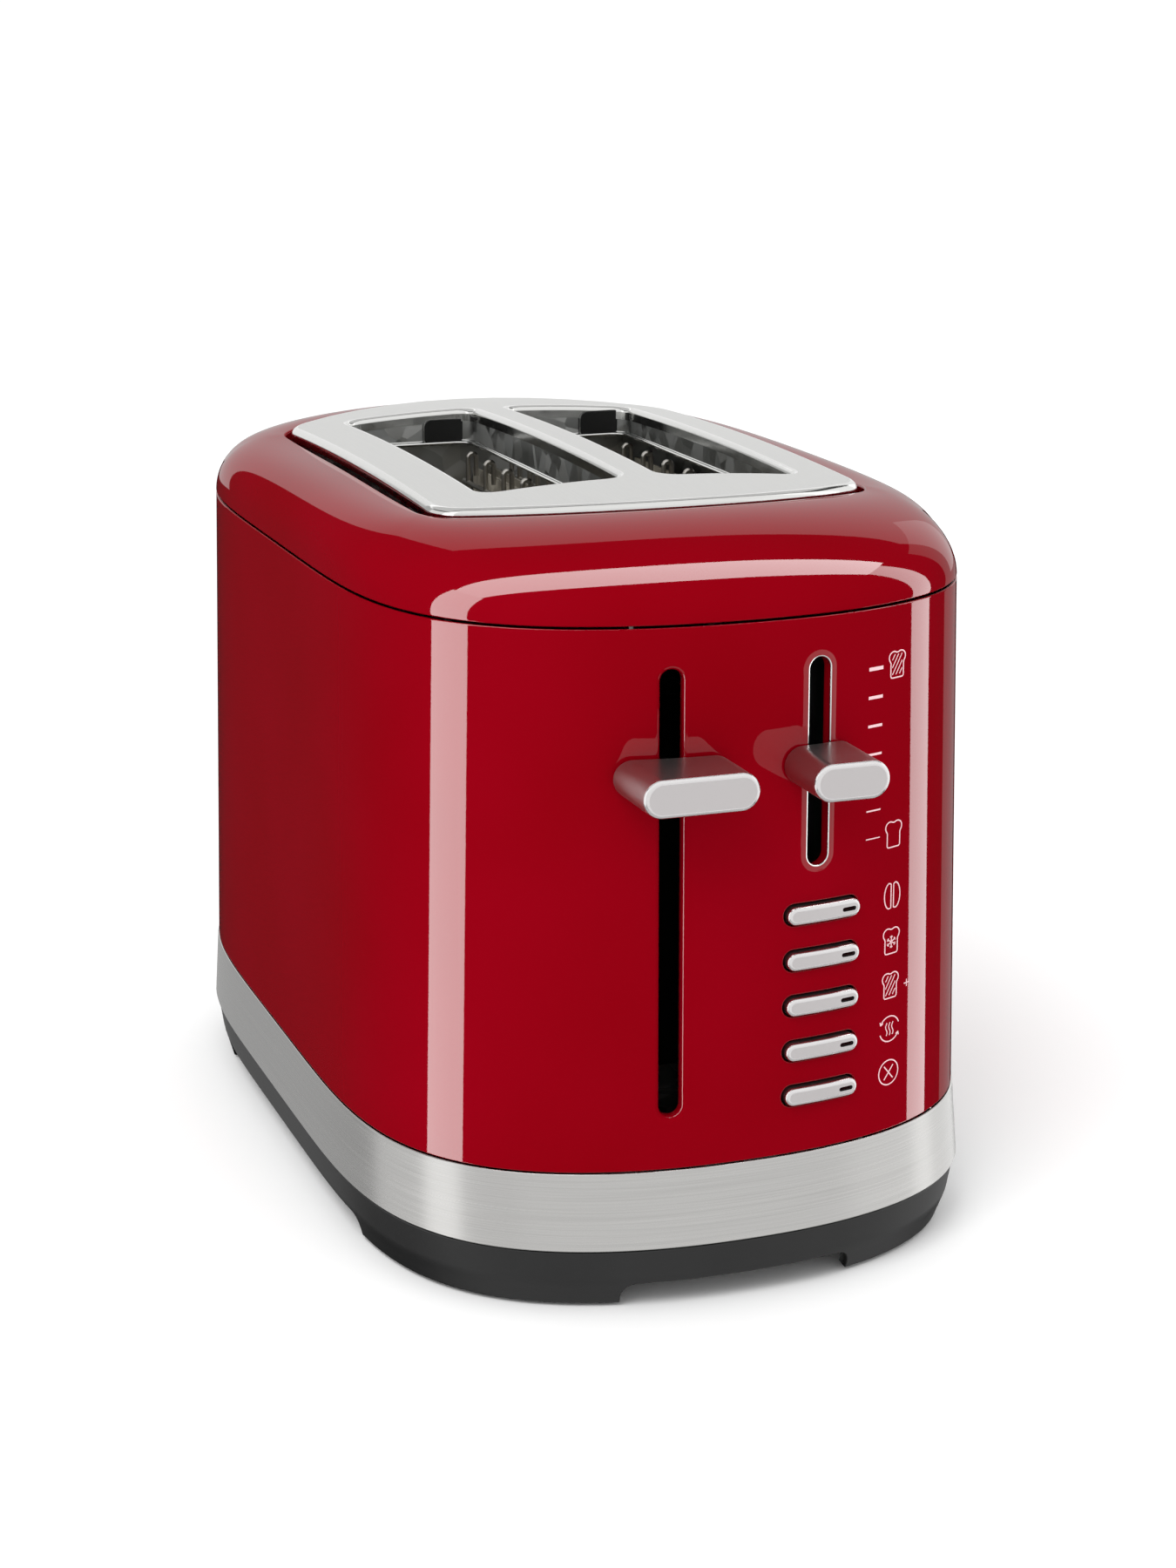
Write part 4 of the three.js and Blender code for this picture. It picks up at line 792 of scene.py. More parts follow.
# %% The sleeve
SLEEVE = Hoop((89.7, 144.7, 38.7), (86.4, 142.7, 183.7))
SHEET = 1.2
LEVER_X, LEVER_Z, KNOB_TALL = -20.4, 145.5, 10.1
LEVER_SLOT_Z, LEVER_SLOT_WIDE, LEVER_SLOT_TALL = 113.0, 5.9, 119.6
SLIDER_X, SLIDER_Z, SLIDER_SLOT_WIDE, SLIDER_SLOT_TALL = 20.4, 145.4, 6.2, 55.6
BUTTON_X, BUTTON_WIDE, BUTTON_TALL, BUTTON_RIM = 22.3, 21.8, 4.9, 0.6
BUTTONS = {"bagel": 104.8, "frozen": 92.3, "extra": 79.8, "reheat": 67.3, "cancel": 54.8}
# Each opening is (outline, radius of its rolled lip, depth of the lip, thickness of its sheet).
slider_outline = pill(SLIDER_X, SLIDER_Z, SLIDER_SLOT_WIDE, SLIDER_SLOT_TALL)
lever_slot = (pill(LEVER_X, LEVER_SLOT_Z, LEVER_SLOT_WIDE, LEVER_SLOT_TALL), 1.5, 3.0, 0.9)
slider_slot = (slider_outline, 0.9, 3.0, 0.9)
button_holes = [
    (pill(BUTTON_X, z, BUTTON_WIDE + 2 * BUTTON_RIM, BUTTON_TALL + 2 * BUTTON_RIM), 0.4, SHEET, 0.3)
    for z in BUTTONS.values()
]
sleeve = pressed_hoop("painted_sleeve", SLEEVE, -1, 60, [lever_slot, slider_slot, *button_holes],
                      SHEET, 0.4, [red_enamel], 40, 28)
settle(sleeve, BASE_BODY, "red_enamel", "body_shell")

# %% [markdown]
# ## The brushed band
# The band hides the joint between sleeve and base. It flares out a little towards the worktop,
# most of all at the ends. The crumb tray's handle fills a window at its back.

# %% The brushed band
BAND = Hoop((90.8, 148.4, 17.7), (90.0, 145.0, 38.4))
WINDOW_Z, WINDOW_WIDE, WINDOW_TALL = 27.7, 100.6, 14.0
window = rounded_box(0, WINDOW_Z, WINDOW_WIDE, WINDOW_TALL, 1.5)
band = pressed_hoop("brushed_band", BAND, 1, 60, [(window, 0.4, SHEET, 0.3)],
                    SHEET, 0.45, [brushed_band], 40, 6)
settle(band, BASE_BODY, "brushed_band", "trim_band")

# %% [markdown]
# ## The deck
# The deck is one pressing: crowned a little both ways so that crumbs roll off, turned down all
# round, and with the rims of both bread slots rolled in and polished.

# %% The deck
DECK_TOP, CROWN_X, CROWN_Y = 210.9, 952, 3334
DECK_HALF, DECK_LONG, DECK_BOW, DECK_CORNER = 62.7, 99.5, 95, 16


def crown(x, y, depth=0.0):
    """The deck's surface, or a level some depth under it."""
    normal = Vector((2 * x / CROWN_X, 2 * y / CROWN_Y, 1)).normalized()
    return Vector((x, y, DECK_TOP - x * x / CROWN_X - y * y / CROWN_Y - depth)), normal


def deck_outline(steps=10, longest=6.0):
    bow_y = DECK_LONG - DECK_BOW
    corner_x = DECK_HALF - DECK_CORNER
    between = DECK_BOW - DECK_CORNER
    corner_y = bow_y + math.sqrt(between ** 2 - corner_x ** 2)
    lean = math.acos(corner_x / between)
    half = math.pi
    return arc_outline([
        (corner_x, corner_y, DECK_CORNER, 0, lean), (0, bow_y, DECK_BOW, lean, half - lean),
        (-corner_x, corner_y, DECK_CORNER, half - lean, half),
        (-corner_x, -corner_y, DECK_CORNER, half, half + lean),
        (0, -bow_y, DECK_BOW, half + lean, 2 * half - lean),
        (corner_x, -corner_y, DECK_CORNER, 2 * half - lean, 2 * half),
    ], steps, longest)


SLOT_X, SLOT_WIDE, SLOT_LONG = 25.95, 40.7, 135.7
DECK_SHEET, DECK_EDGE, LIP, SLOT_CORNER = 1.0, 2.0, 1.7, 5.5
LIP_DEEP, SKIRT_DEEP, LIP_STEPS, POLISHED = 4.0, 3.6, 6, 1
deck_shell = Shell()
rim = deck_outline()
slots = [rounded_box(side * SLOT_X, 0, SLOT_WIDE, SLOT_LONG, SLOT_CORNER) for side in (-1, 1)]
flat, triangles = field(grown(rim, -DECK_EDGE), [grown(s, LIP) for s in slots], 5, 5, 2.0)
skins = [deck_shell.lay(flat, triangles, crown, depth, looks)
         for depth, looks in ((0.0, 1), (DECK_SHEET, -1))]
roll_openings(deck_shell, skins, len(rim), [(slot, LIP, LIP_DEEP, DECK_SHEET) for slot in slots],
              crown, LIP_STEPS, POLISHED)
turned = [(p, -out) for p, out in rim]
roll_openings(deck_shell, skins, 0, [(turned, DECK_EDGE, SKIRT_DEEP, DECK_SHEET)],
              crown, LIP_STEPS, POLISHED)
deck = deck_shell.piece("steel_deck", [satin_steel, polished_lip])
settle(deck, BASE_BODY, "satin_steel", "top_plate")

# %% [markdown]
# ## The cover
# The cover rises from the seam and turns over into the deck's channel. Its ends are a plain
# quarter of an ellipse. Its sides stay upright longer and then turn over fast, so the power of
# the curve changes along the body. That rule is the whole shape, so it is made as a grid: a
# column for each sample of the outline, and a row for each step of the curve.

# %% The cover
COVER_HALF, COVER_LONG = 86.4, 142.7
SEAM_TOP, SIDE_POWER, END_POWER, BLEND_Y = 184.3, 3.0, 1.95, 72.0
SIDE_DROP, END_DROP = 3.2, 1.6  # how far the cover's rim lies below the deck
CHANNEL, COVER_WALL, COVER_LIP, COVER_ROLL, SEAM_ROLL = 1.7, 2.4, 5.0, 0.8, 0.4


def to_rim(target, rim_ring):
    """Where a ray from the middle towards a point leaves the deck's outline."""
    direction = target.normalized()
    best = 0.0
    for p, q in zip(rim_ring, rim_ring[1:] + rim_ring[:1]):
        edge = q - p
        across = direction.cross(edge)
        if abs(across) > 1e-9:
            along, distance = p.cross(direction) / across, p.cross(edge) / across
            if distance > 0 and -1e-6 <= along <= 1 + 1e-6:
                best = max(best, distance)
    return direction * best


def cover_rows(wall, rows):
    """The skin's points from the seam to the channel, moved inwards by a wall."""
    ring = grown(deck_outline(24, 2.0), CHANNEL + COVER_ROLL + wall)
    columns = []
    for turn in TURNS:
        foot = lame(turn, COVER_HALF, COVER_LONG)
        edge = to_rim(foot, ring)
        foot = foot - out_of(foot.x, foot.y, COVER_HALF, COVER_LONG).to_2d() * wall
        endness = min(1, abs(edge.y) / BLEND_Y) ** 3
        power = 2 / (SIDE_POWER + (END_POWER - SIDE_POWER) * endness)
        drop = SIDE_DROP + (END_DROP - SIDE_DROP) * endness
        top = crown(edge.x, edge.y)[0].z - drop - wall
        column = []
        for row in range(rows + 1):
            up = math.pi / 2 * row / rows
            spot = foot.lerp(edge, 1 - max(0, math.cos(up)) ** power)
            column.append(Vector((*spot, SEAM_TOP + (top - SEAM_TOP) * math.sin(up) ** power)))
        columns.append(column)
    return columns


print("cover:", len(TURNS), "columns")

# %% The cover's two skins
cover_shell = Shell()
ROWS, INNER_ROWS, ROLL_STEPS = 44, 8, 5
outer = cover_rows(0.0, ROWS)
inner = cover_rows(COVER_WALL, INNER_ROWS)
count = len(outer)
rings = []
for row in range(ROWS + 1):
    normals = []
    for i in range(count):
        around = outer[(i + 1) % count][row] - outer[i - 1][row]
        up = outer[i][min(row + 1, ROWS)] - outer[i][max(row - 1, 0)]
        if row == ROWS:
            up.z = 0
        normals.append(around.cross(up))
    rings.append(cover_shell.add([column[row] for column in outer], normals))
tucked = [cover_shell.points[i] - cover_shell.normals[i].to_2d().to_3d() * SEAM_ROLL
          for i in rings[0]]
under = cover_shell.add(tucked, [Vector((0, 0, -1))] * count)
for i in rings[0]:
    cover_shell.points[i].z += SEAM_ROLL
    cover_shell.normals[i].z = 0
inside_rings = [
    cover_shell.add([column[row] for column in inner],
                    [-cover_shell.normals[i] for i in rings[round(row * ROWS / INNER_ROWS)]])
    for row in range(INNER_ROWS + 1)
]
cover_shell.join_all([under, *rings])
cover_shell.join_all([under, *inside_rings])
print("cover skins:", len(rings), "rings outside and", len(inside_rings), "inside")

# %% The cover's rim, rolled down into the channel
before = rings[-1]
for step in range(1, ROLL_STEPS + 1):
    up = math.pi / 2 * step / ROLL_STEPS
    points, normals = [], []
    for i in rings[-1]:
        p = cover_shell.points[i]
        inward = -p.to_2d().normalized().to_3d()
        points.append(p + inward * COVER_ROLL * math.sin(up)
                      - Vector((0, 0, COVER_ROLL * (1 - math.cos(up)))))
        normals.append(Vector((0, 0, math.cos(up))) + inward * math.sin(up))
    following = cover_shell.add(points, normals)
    cover_shell.join(before, following)
    before = following
drop = Vector((0, 0, -COVER_LIP))
wall_end = cover_shell.add([cover_shell.points[i] + drop for i in before],
                           [cover_shell.normals[i] for i in before])
cover_shell.join(before, wall_end)
cover_shell.join(wall_end, inside_rings[-1])
cover = cover_shell.piece("painted_cover", [red_enamel])
settle(cover, BASE_BODY, "red_enamel", "top_cover")

# %% [markdown]
# ## The base
# The base is one nylon moulding: a skirt with a soft crease, a floor, and an arch cut into
# each side so that it stands on four corners. The skirt is a hoop again, but its lower edge
# rises and falls, so it is built column by column, with extra columns where an arch begins.

# %% The base
FOOT, WAIST, SHOULDER = (86.8, 143.2, 0.8), (88.9, 146.05, 8.3), (90.2, 147.8, 17.4)
ARCH, END_ARCH, SIDE_ARCH, FLANK, FLANK_POWER, FLANK_STEPS = 7.0, 28.0, 71.0, 5.6, 2.6, 8
CREASE = 2.5  # half the height over which the crease is rounded
RISE = 0.2  # the step in height that the skirt's slope is measured over


def skirt_sizes(z):
    """Half width and half length at a level, rounded through the crease."""
    def straight(low, high):
        share = (z - low[2]) / (high[2] - low[2])
        return [low[k] + (high[k] - low[k]) * share for k in (0, 1)]
    below, above = straight(FOOT, WAIST), straight(WAIST, SHOULDER)
    share = min(1, max(0, (z - WAIST[2] + CREASE) / (2 * CREASE)))
    share = share * share * (3 - 2 * share)
    return [p + (q - p) * share for p, q in zip(below, above)]


def skirt_point(turn, z, depth=0.0):
    """A point of the skirt, or of its inner wall at a depth, and the skirt's normal."""
    a, b = skirt_sizes(z)
    up = skirt_sizes(z + RISE)
    spot = lame(turn, a, b)
    normal = out_of(spot.x, spot.y, a, b, (up[0] - a) / RISE, (up[1] - b) / RISE)
    return Vector((*spot, z)) - normal * depth, normal


def skirt_columns():
    """(turn, lower edge) round the base, with columns of their own on each arch's flanks."""
    a, b = skirt_sizes(ARCH)
    columns = []
    flanks = []
    for step in range(FLANK_STEPS + 1):
        lean = math.pi / 2 * step / FLANK_STEPS
        away = FLANK * math.sin(lean) ** (2 / FLANK_POWER)
        lift = FOOT[2] + (ARCH - FOOT[2]) * math.cos(lean) ** (2 / FLANK_POWER)
        flanks.append((math.acos(((END_ARCH + away) / a) ** (SIDE_BOW / 2)), lift))
        flanks.append((math.asin(((SIDE_ARCH + away) / b) ** (END_BOW / 2)), lift))
    clear = 0.01
    ranges = [(min(t for t, _ in flanks[k::2]) - clear, max(t for t, _ in flanks[k::2]) + clear)
              for k in (0, 1)]
    for turn in TURNS:
        first = abs(math.atan2(math.sin(turn), abs(math.cos(turn))))
        if not any(low < first < high for low, high in ranges):
            at_arch = first > ranges[0][1] or first < ranges[1][0]
            columns.append((turn, ARCH if at_arch else FOOT[2]))
    for turn, lift in flanks:
        columns += [(turn, lift), (math.pi - turn, lift), (math.pi + turn, lift),
                    (2 * math.pi - turn, lift)]
    return sorted(columns)


columns = skirt_columns()
print("base:", len(columns), "columns")

# %% The base's skirt
base_shell = Shell()
BASE_ROWS, BASE_ROLL, TOP_ROLL, BASE_WALL, FLOOR_LOW, FLOOR_HIGH = 10, 0.8, 0.5, 3.0, 10.0, 12.5
top_z = SHOULDER[2] - TOP_ROLL
strips = []
for turn, low in columns:
    levels = [low + BASE_ROLL + (top_z - low - BASE_ROLL) * r / BASE_ROWS
              for r in range(BASE_ROWS + 1)]
    laid = [skirt_point(turn, z) for z in levels]
    below = [rolled(*laid[0], BASE_ROLL, lean, -1) for lean in reversed(LEANS)]
    above = [rolled(*skirt_point(turn, top_z), TOP_ROLL, lean, 1) for lean in LEANS]
    inner_edge = (skirt_point(turn, SHOULDER[2], BASE_WALL)[0], Vector((0, 0, 1)))
    column = below + laid + above + [inner_edge]
    strips.append(base_shell.add([place for place, _ in column], [out for _, out in column]))
base_shell.join_all([*strips, strips[0]], closed=False)
print("skirt:", len(strips), "strips")

# %% The base's inner wall and floor
# The inner wall starts at the skirt's own lower edge, for which the level is None.
inner_walls = []
for level in (None, FLOOR_LOW):
    laid = [skirt_point(turn, low if level is None else level, BASE_WALL)
            for turn, low in columns]
    inner_walls.append(base_shell.add([at for at, _ in laid], [-out for _, out in laid]))
base_shell.join_all([[strip[0] for strip in strips], *inner_walls])
for ring, z, up in ((inner_walls[1], FLOOR_LOW, -1), ([s[-1] for s in strips], FLOOR_HIGH, 1)):
    edge = base_shell.add([(base_shell.points[i].x, base_shell.points[i].y, z) for i in ring],
                          [Vector((0, 0, up))] * len(ring))
    if up > 0:
        base_shell.join(ring, edge)
    base_shell.fill(edge, (0, 0, z), up)
base = base_shell.piece("moulded_base", [base_plastic])
settle(base, BASE_BODY, "base_plastic", "base_housing")

# %% [markdown]
# ## Knobs and buttons
# A knob is a pill of blasted zinc with a bright cut rim round its flat face, and its back
# follows the sleeve at a small gap. A button is a smaller pill whose face follows the curve
# of the sleeve, with a pocket at one end for its lamp. Both are a front sheet, a rolled edge,
# a wall and a back, so one function makes them.


# %% A cap with a rolled edge
def cap(name, outline, front, back, roll, finishes, pockets=(), steps=5):
    """A pill or box whose front and back are surfaces of x and z, with pockets (outline, depth).

    Its face and back have the first finish, and its rolled edge has the second.
    """
    shell = Shell()
    face_ring = grown(outline, -roll)
    flat, triangles = field(face_ring, [grown(p, 0) for p, _ in pockets], 1.6, 1.6, 0.5)
    ids = shell.lay(flat, triangles, front)
    turned = [(p, -out) for p, out in outline]
    before = roll_edge(shell, ids[:len(outline)], turned, front, roll, steps, 1)
    sides = [shell.normals[i] for i in before]
    end = shell.add([back(p.x, p.y)[0] for p, _ in outline], sides)
    shell.join(before, end)
    shell.lay(*field(grown(outline, 0), [], 4, 4, 1.5), back, 0.0, -1)
    start = len(outline)
    for ring, depth in pockets:
        rim_ids = ids[start:start + len(ring)]
        walls = [front(p.x, p.y)[0] - front(*(p + out))[0] for p, out in ring]
        top = shell.add([shell.points[i] for i in rim_ids], walls)
        low = shell.add([front(p.x, p.y, depth)[0] for p, _ in ring], walls)
        shell.join(top, low)
        shell.lay(*field(grown(ring, 0), [], 1, 1, 0.3), front, depth)
        start += len(ring)
    return shell.piece(name, finishes)


# %% Lever and slider knobs
KNOB_FACE, KNOB_GAP, LEVER_DROP, KNOB_ROLL = -163.25, 0.8, 86.0, 1.2
LEVER_KNOB_WIDE, SLIDER_KNOB_WIDE = 31.2, 20.9
sleeve_front = SLEEVE.at_x(-1)


def knob_front(x, z, depth=0.0):
    return Vector((x, KNOB_FACE + depth, z)), Vector((0, -1, 0))


def slider_back(x, z, depth=0.0):
    return sleeve_front(x, z, -KNOB_GAP)


def lever_back(x, z, depth=0.0):
    """Clear of the sleeve where the lever is lowest, because the sleeve widens downwards."""
    return Vector((x, sleeve_front(x, z - LEVER_DROP, -KNOB_GAP)[0].y, z)), Vector((0, -1, 0))


for name, x, z, wide, knob_back, body, node in (
        ("lever_grip", LEVER_X, LEVER_Z, LEVER_KNOB_WIDE, lever_back, "carriage", "lever_knob"),
        ("slider_grip", SLIDER_X, SLIDER_Z, SLIDER_KNOB_WIDE, slider_back, "browning_slider",
         "slider_knob")):
    knob = cap(name, pill(x, z, wide, KNOB_TALL, 12, 1.6), knob_front, knob_back, KNOB_ROLL,
               [knob_metal, rim_metal])
    settle(knob, body, "knob_metal", node)

# %% Buttons and lamps
PROUD, CAP_BACK, BUTTON_ROLL, POCKET_DEEP = 1.9, 5.0, 1.0, 2.2
LENS_X, LENS_WIDE, LENS_TALL, LENS_ROLL = 29.4, 4.0, 0.95, 0.15
LENS_GAP, LENS_SUNK, LENS_BACK = 0.1, 0.4, 0.4


def button_front(x, z, depth=0.0):
    return sleeve_front(x, z, depth - PROUD)


def button_back(x, z, depth=0.0):
    return sleeve_front(x, z, CAP_BACK)


def lens_front(x, z, depth=0.0):
    return sleeve_front(x, z, depth - PROUD + LENS_SUNK)


def lens_back(x, z, depth=0.0):
    return sleeve_front(x, z, LENS_BACK)


for name, z in BUTTONS.items():
    lamp_hole = pill(LENS_X, z, LENS_WIDE + 2 * LENS_GAP, LENS_TALL + 2 * LENS_GAP, 5, 0.6)
    button = cap(name + "_cap", pill(BUTTON_X, z, BUTTON_WIDE, BUTTON_TALL, 8, 1.6), button_front,
                 button_back, BUTTON_ROLL, [knob_metal, rim_metal], [(lamp_hole, POCKET_DEEP)])
    settle(button, name + "_button", "knob_metal", name + "_button")
    lens = cap(name + "_lamp", pill(LENS_X, z, LENS_WIDE, LENS_TALL, 5, 0.6), lens_front,
               lens_back, LENS_ROLL, [lamp_window, lamp_window], steps=2)
    settle(lens, name + "_button", "lens", name + "_lens")

# %% [markdown]
# ## Trees that repeat a shape
# Feet, screws, rungs, wires and heating ribbons are one shape used many times. A Geometry
# Nodes tree makes the shape once from named sizes, and copies it to every point of a start
# mesh. The result is turned into a plain mesh before the piece is given to the frame.


# %% Building and running a tree
SOCKETS = {int: "NodeSocketInt", float: "NodeSocketFloat", type(None): "NodeSocketObject"}


def start_tree(name, **sizes):
    """A tree with a Points input, and one for each size in metres, count or object (None)."""
    tree = bpy.data.node_groups.new(name, "GeometryNodeTree")
    tree.interface.new_socket("Mesh", in_out="OUTPUT", socket_type="NodeSocketGeometry")
    tree.interface.new_socket("Points", in_out="INPUT", socket_type="NodeSocketGeometry")
    for label, value in sizes.items():
        kind = SOCKETS[type(value)]
        tree.interface.new_socket(label, in_out="INPUT", socket_type=kind).default_value = value
    return tree, add_node(tree, "NodeGroupInput").outputs


def end_tree(tree, geometry, made):
    """Turn copies into real mesh, because the export drops instances, and give the finish."""
    whole = add_node(tree, "GeometryNodeRealizeInstances", {"Geometry": geometry})
    shown = add_node(tree, "GeometryNodeSetMaterial", {
        "Geometry": whole.outputs["Geometry"], "Material": made})
    add_node(tree, "NodeGroupOutput", {"Mesh": shown.outputs["Geometry"]})


def run_tree(name, tree, points, edges=(), sharp=35, **sizes):
    """Run a tree on a start mesh of points and edges, and keep the result as a plain mesh."""
    start = bpy.data.meshes.new(name + "_start")
    start.from_pydata([metres(p) for p in points], list(edges), [])
    holder = bpy.data.objects.new(name, start)
    bpy.context.collection.objects.link(holder)
    modifier = holder.modifiers.new(tree.name, "NODES")
    modifier.node_group = tree
    for socket in tree.interface.items_tree:
        if socket.in_out == "INPUT" and socket.name in sizes:
            modifier[socket.identifier] = sizes[socket.name]
    shown = holder.evaluated_get(bpy.context.evaluated_depsgraph_get())
    mesh = bpy.data.meshes.new_from_object(shown)
    bpy.data.objects.remove(holder)
    mesh.polygons.foreach_set("use_smooth", [True] * len(mesh.polygons))
    mesh.set_sharp_from_angle(angle=math.radians(sharp))
    piece = bpy.data.objects.new(name, mesh)
    bpy.context.collection.objects.link(piece)
    return piece


def sweep(tree, path, profile, caps=True):
    return add_node(tree, "GeometryNodeCurveToMesh", {
        "Curve": path, "Profile Curve": profile, "Fill Caps": caps}).outputs["Mesh"]


def times(tree, value, factor):
    return add_node(tree, "ShaderNodeMath", {0: value, 1: factor}, operation="MULTIPLY").outputs[0]


# %% [markdown]
# ### Feet and screws
# A foot is a silicone disc with a rounded edge and a screw is a steel head with a socket. Both
# are turned shapes: a rectangle with rounded corners, swept round a circle.

# %% Feet and screws
turned, given = start_tree("turned_disc", Radius=0.007, Bore=0.0005, Height=0.003, Round=0.0006)
across = add_node(turned, "ShaderNodeMath", {0: given["Radius"], 1: given["Bore"]},
                  operation="SUBTRACT").outputs[0]
middle = add_node(turned, "ShaderNodeMath", {0: given["Radius"], 1: given["Bore"]},
                  operation="ADD").outputs[0]
circle = add_node(turned, "GeometryNodeCurvePrimitiveCircle", {
    "Resolution": 40, "Radius": times(turned, middle, 0.5)})
section = add_node(turned, "GeometryNodeCurvePrimitiveQuadrilateral", {
    "Width": across, "Height": given["Height"]})
rounded = add_node(turned, "GeometryNodeFilletCurve", {
    "Curve": section.outputs["Curve"], "Radius": given["Round"], "Count": 4}, mode="POLY")
disc = sweep(turned, circle.outputs["Curve"], rounded.outputs["Curve"], False)
placed = add_node(turned, "GeometryNodeInstanceOnPoints", {
    "Points": given["Points"], "Instance": disc})
end_tree(turned, placed.outputs["Instances"], foot_rubber)
CORNERS = {"front_left": (-1, -1), "front_right": (1, -1), "rear_left": (-1, 1),
           "rear_right": (1, 1)}
FOOT_X, FOOT_Y, FOOT_Z = 57, 112, 1.5
SCREW_X, SCREW_Y, SCREW_Z = 55.5, 82.85, 8.5
feet = run_tree("silicone_feet", turned,
                [(FOOT_X * x, FOOT_Y * y, FOOT_Z) for x, y in CORNERS.values()])
settle(feet, BASE_BODY, "rubber", *("foot_pad_" + corner for corner in CORNERS))
screws = run_tree("base_screws", turned,
                  [(SCREW_X * x, SCREW_Y * y, SCREW_Z) for x, y in CORNERS.values()],
                  Radius=0.0032, Bore=0.0012, Height=0.0024, Round=0.0004)
screws.data.materials[0] = rack_wire  # plated steel, in place of the tree's rubber
settle(screws, BASE_BODY, "zinc_sheet", *("base_screw_" + corner for corner in CORNERS))

# %% [markdown]
# ### Bread guards
# A guard is a rack of sprung wires that closes on the slice. Each wire stands upright and is
# bent over at the top into a hook that hangs on the rail. The tree bends one wire from a
# start mesh of its corners, and repeats it along the rack between two level rails.

# %% Bread guards
rack, given = start_tree("wire_rack", Wires=8, Pitch=0.0174, Bend=0.003, Thickness=0.0016)
wire_path = add_node(rack, "GeometryNodeMeshToCurve", {"Mesh": given["Points"]})
bent = add_node(rack, "GeometryNodeFilletCurve", {
    "Curve": wire_path.outputs["Curve"], "Radius": given["Bend"], "Count": 5,
    "Limit Radius": True}, mode="POLY")
wire_section = add_node(rack, "GeometryNodeCurvePrimitiveCircle", {
    "Resolution": 10, "Radius": times(rack, given["Thickness"], 0.5)})
one_wire = sweep(rack, bent.outputs["Curve"], wire_section.outputs["Curve"])
step = add_node(rack, "ShaderNodeCombineXYZ", {"Y": given["Pitch"]})
row = add_node(rack, "GeometryNodeMeshLine", {"Count": given["Wires"],
                                              "Offset": step.outputs["Vector"]})
wires = add_node(rack, "GeometryNodeInstanceOnPoints", {
    "Points": row.outputs["Mesh"], "Instance": one_wire})
end_tree(rack, wires.outputs["Instances"], rack_wire)
RACK_END, RACK_LOW, RACK_TOP, WIRES = 60.85, 46.8, 196.1, 8
RAIL_END, RAIL_DROP, HOOK_OUT, HOOK_DOWN = 64.85, 9, 2.6, 7
for name, x, away in (("outer_left", -43.4, -1), ("inner_left", -8.5, 1),
                      ("inner_right", 8.5, -1), ("outer_right", 43.4, 1)):
    hook_x = x + HOOK_OUT * away
    upright = [(x, -RACK_END, RACK_LOW), (x, -RACK_END, RACK_TOP),
               (hook_x, -RACK_END, RACK_TOP), (hook_x, -RACK_END, RACK_TOP - HOOK_DOWN)]
    guard = run_tree("bread_guard_" + name, rack, upright, [(0, 1), (1, 2), (2, 3)],
                     Wires=WIRES, Pitch=2 * RACK_END / (WIRES - 1) * MM, Bend=0.0012)
    rails = [run_tree("rail", rack, [(x, -RAIL_END, z), (x, RAIL_END, z)], [(0, 1)], Wires=1)
             for z in (RACK_LOW, RACK_TOP - RAIL_DROP)]
    merge(guard, *rails)
    settle(guard, "guard_" + name, "zinc_sheet", "guard_" + name)

# %% [markdown]
# ### Heaters
# A heater is a mica card wound with nichrome ribbon in level rows. The card's ends are notched
# so the ribbon can't slip. One tree makes a winding and stacks it; the card is cut out in code.

# %% Heaters
winding, given = start_tree("ribbon_winding", Rows=9, Pitch=0.0142, Length=0.138, Gap=0.0011,
                            Ribbon=0.0022, Thickness=0.0002)
loop = add_node(winding, "GeometryNodeCurvePrimitiveQuadrilateral", {
    "Width": given["Gap"], "Height": given["Length"]})
eased = add_node(winding, "GeometryNodeFilletCurve", {
    "Curve": loop.outputs["Curve"], "Radius": times(winding, given["Gap"], 0.45), "Count": 3},
    mode="POLY")
strip = add_node(winding, "GeometryNodeCurvePrimitiveQuadrilateral", {
    "Width": given["Thickness"], "Height": given["Ribbon"]})
turn_mesh = sweep(winding, eased.outputs["Curve"], strip.outputs["Curve"], False)
rise = add_node(winding, "ShaderNodeCombineXYZ", {"Z": given["Pitch"]})
stack = add_node(winding, "GeometryNodeMeshLine", {"Count": given["Rows"],
                                                   "Offset": rise.outputs["Vector"]})
wound = add_node(winding, "GeometryNodeInstanceOnPoints", {
    "Points": stack.outputs["Mesh"], "Instance": turn_mesh})
moved = add_node(winding, "GeometryNodeInstanceOnPoints", {
    "Points": given["Points"], "Instance": wound.outputs["Instances"]})
end_tree(winding, moved.outputs["Instances"], heating_ribbon)
CARD_LOW, CARD_TOP, CARD_END, CARD_HALF, ROWS_OF_RIBBON = 48.0, 189.9, 72.85, 0.4, 9
NOTCH_DEEP, NOTCH_MOUTH, NOTCH_ROOT = 3, 2, 1.2
CARD_MIDDLE = 119
RIBBON_PITCH = (CARD_TOP - CARD_LOW) / (ROWS_OF_RIBBON + 1)
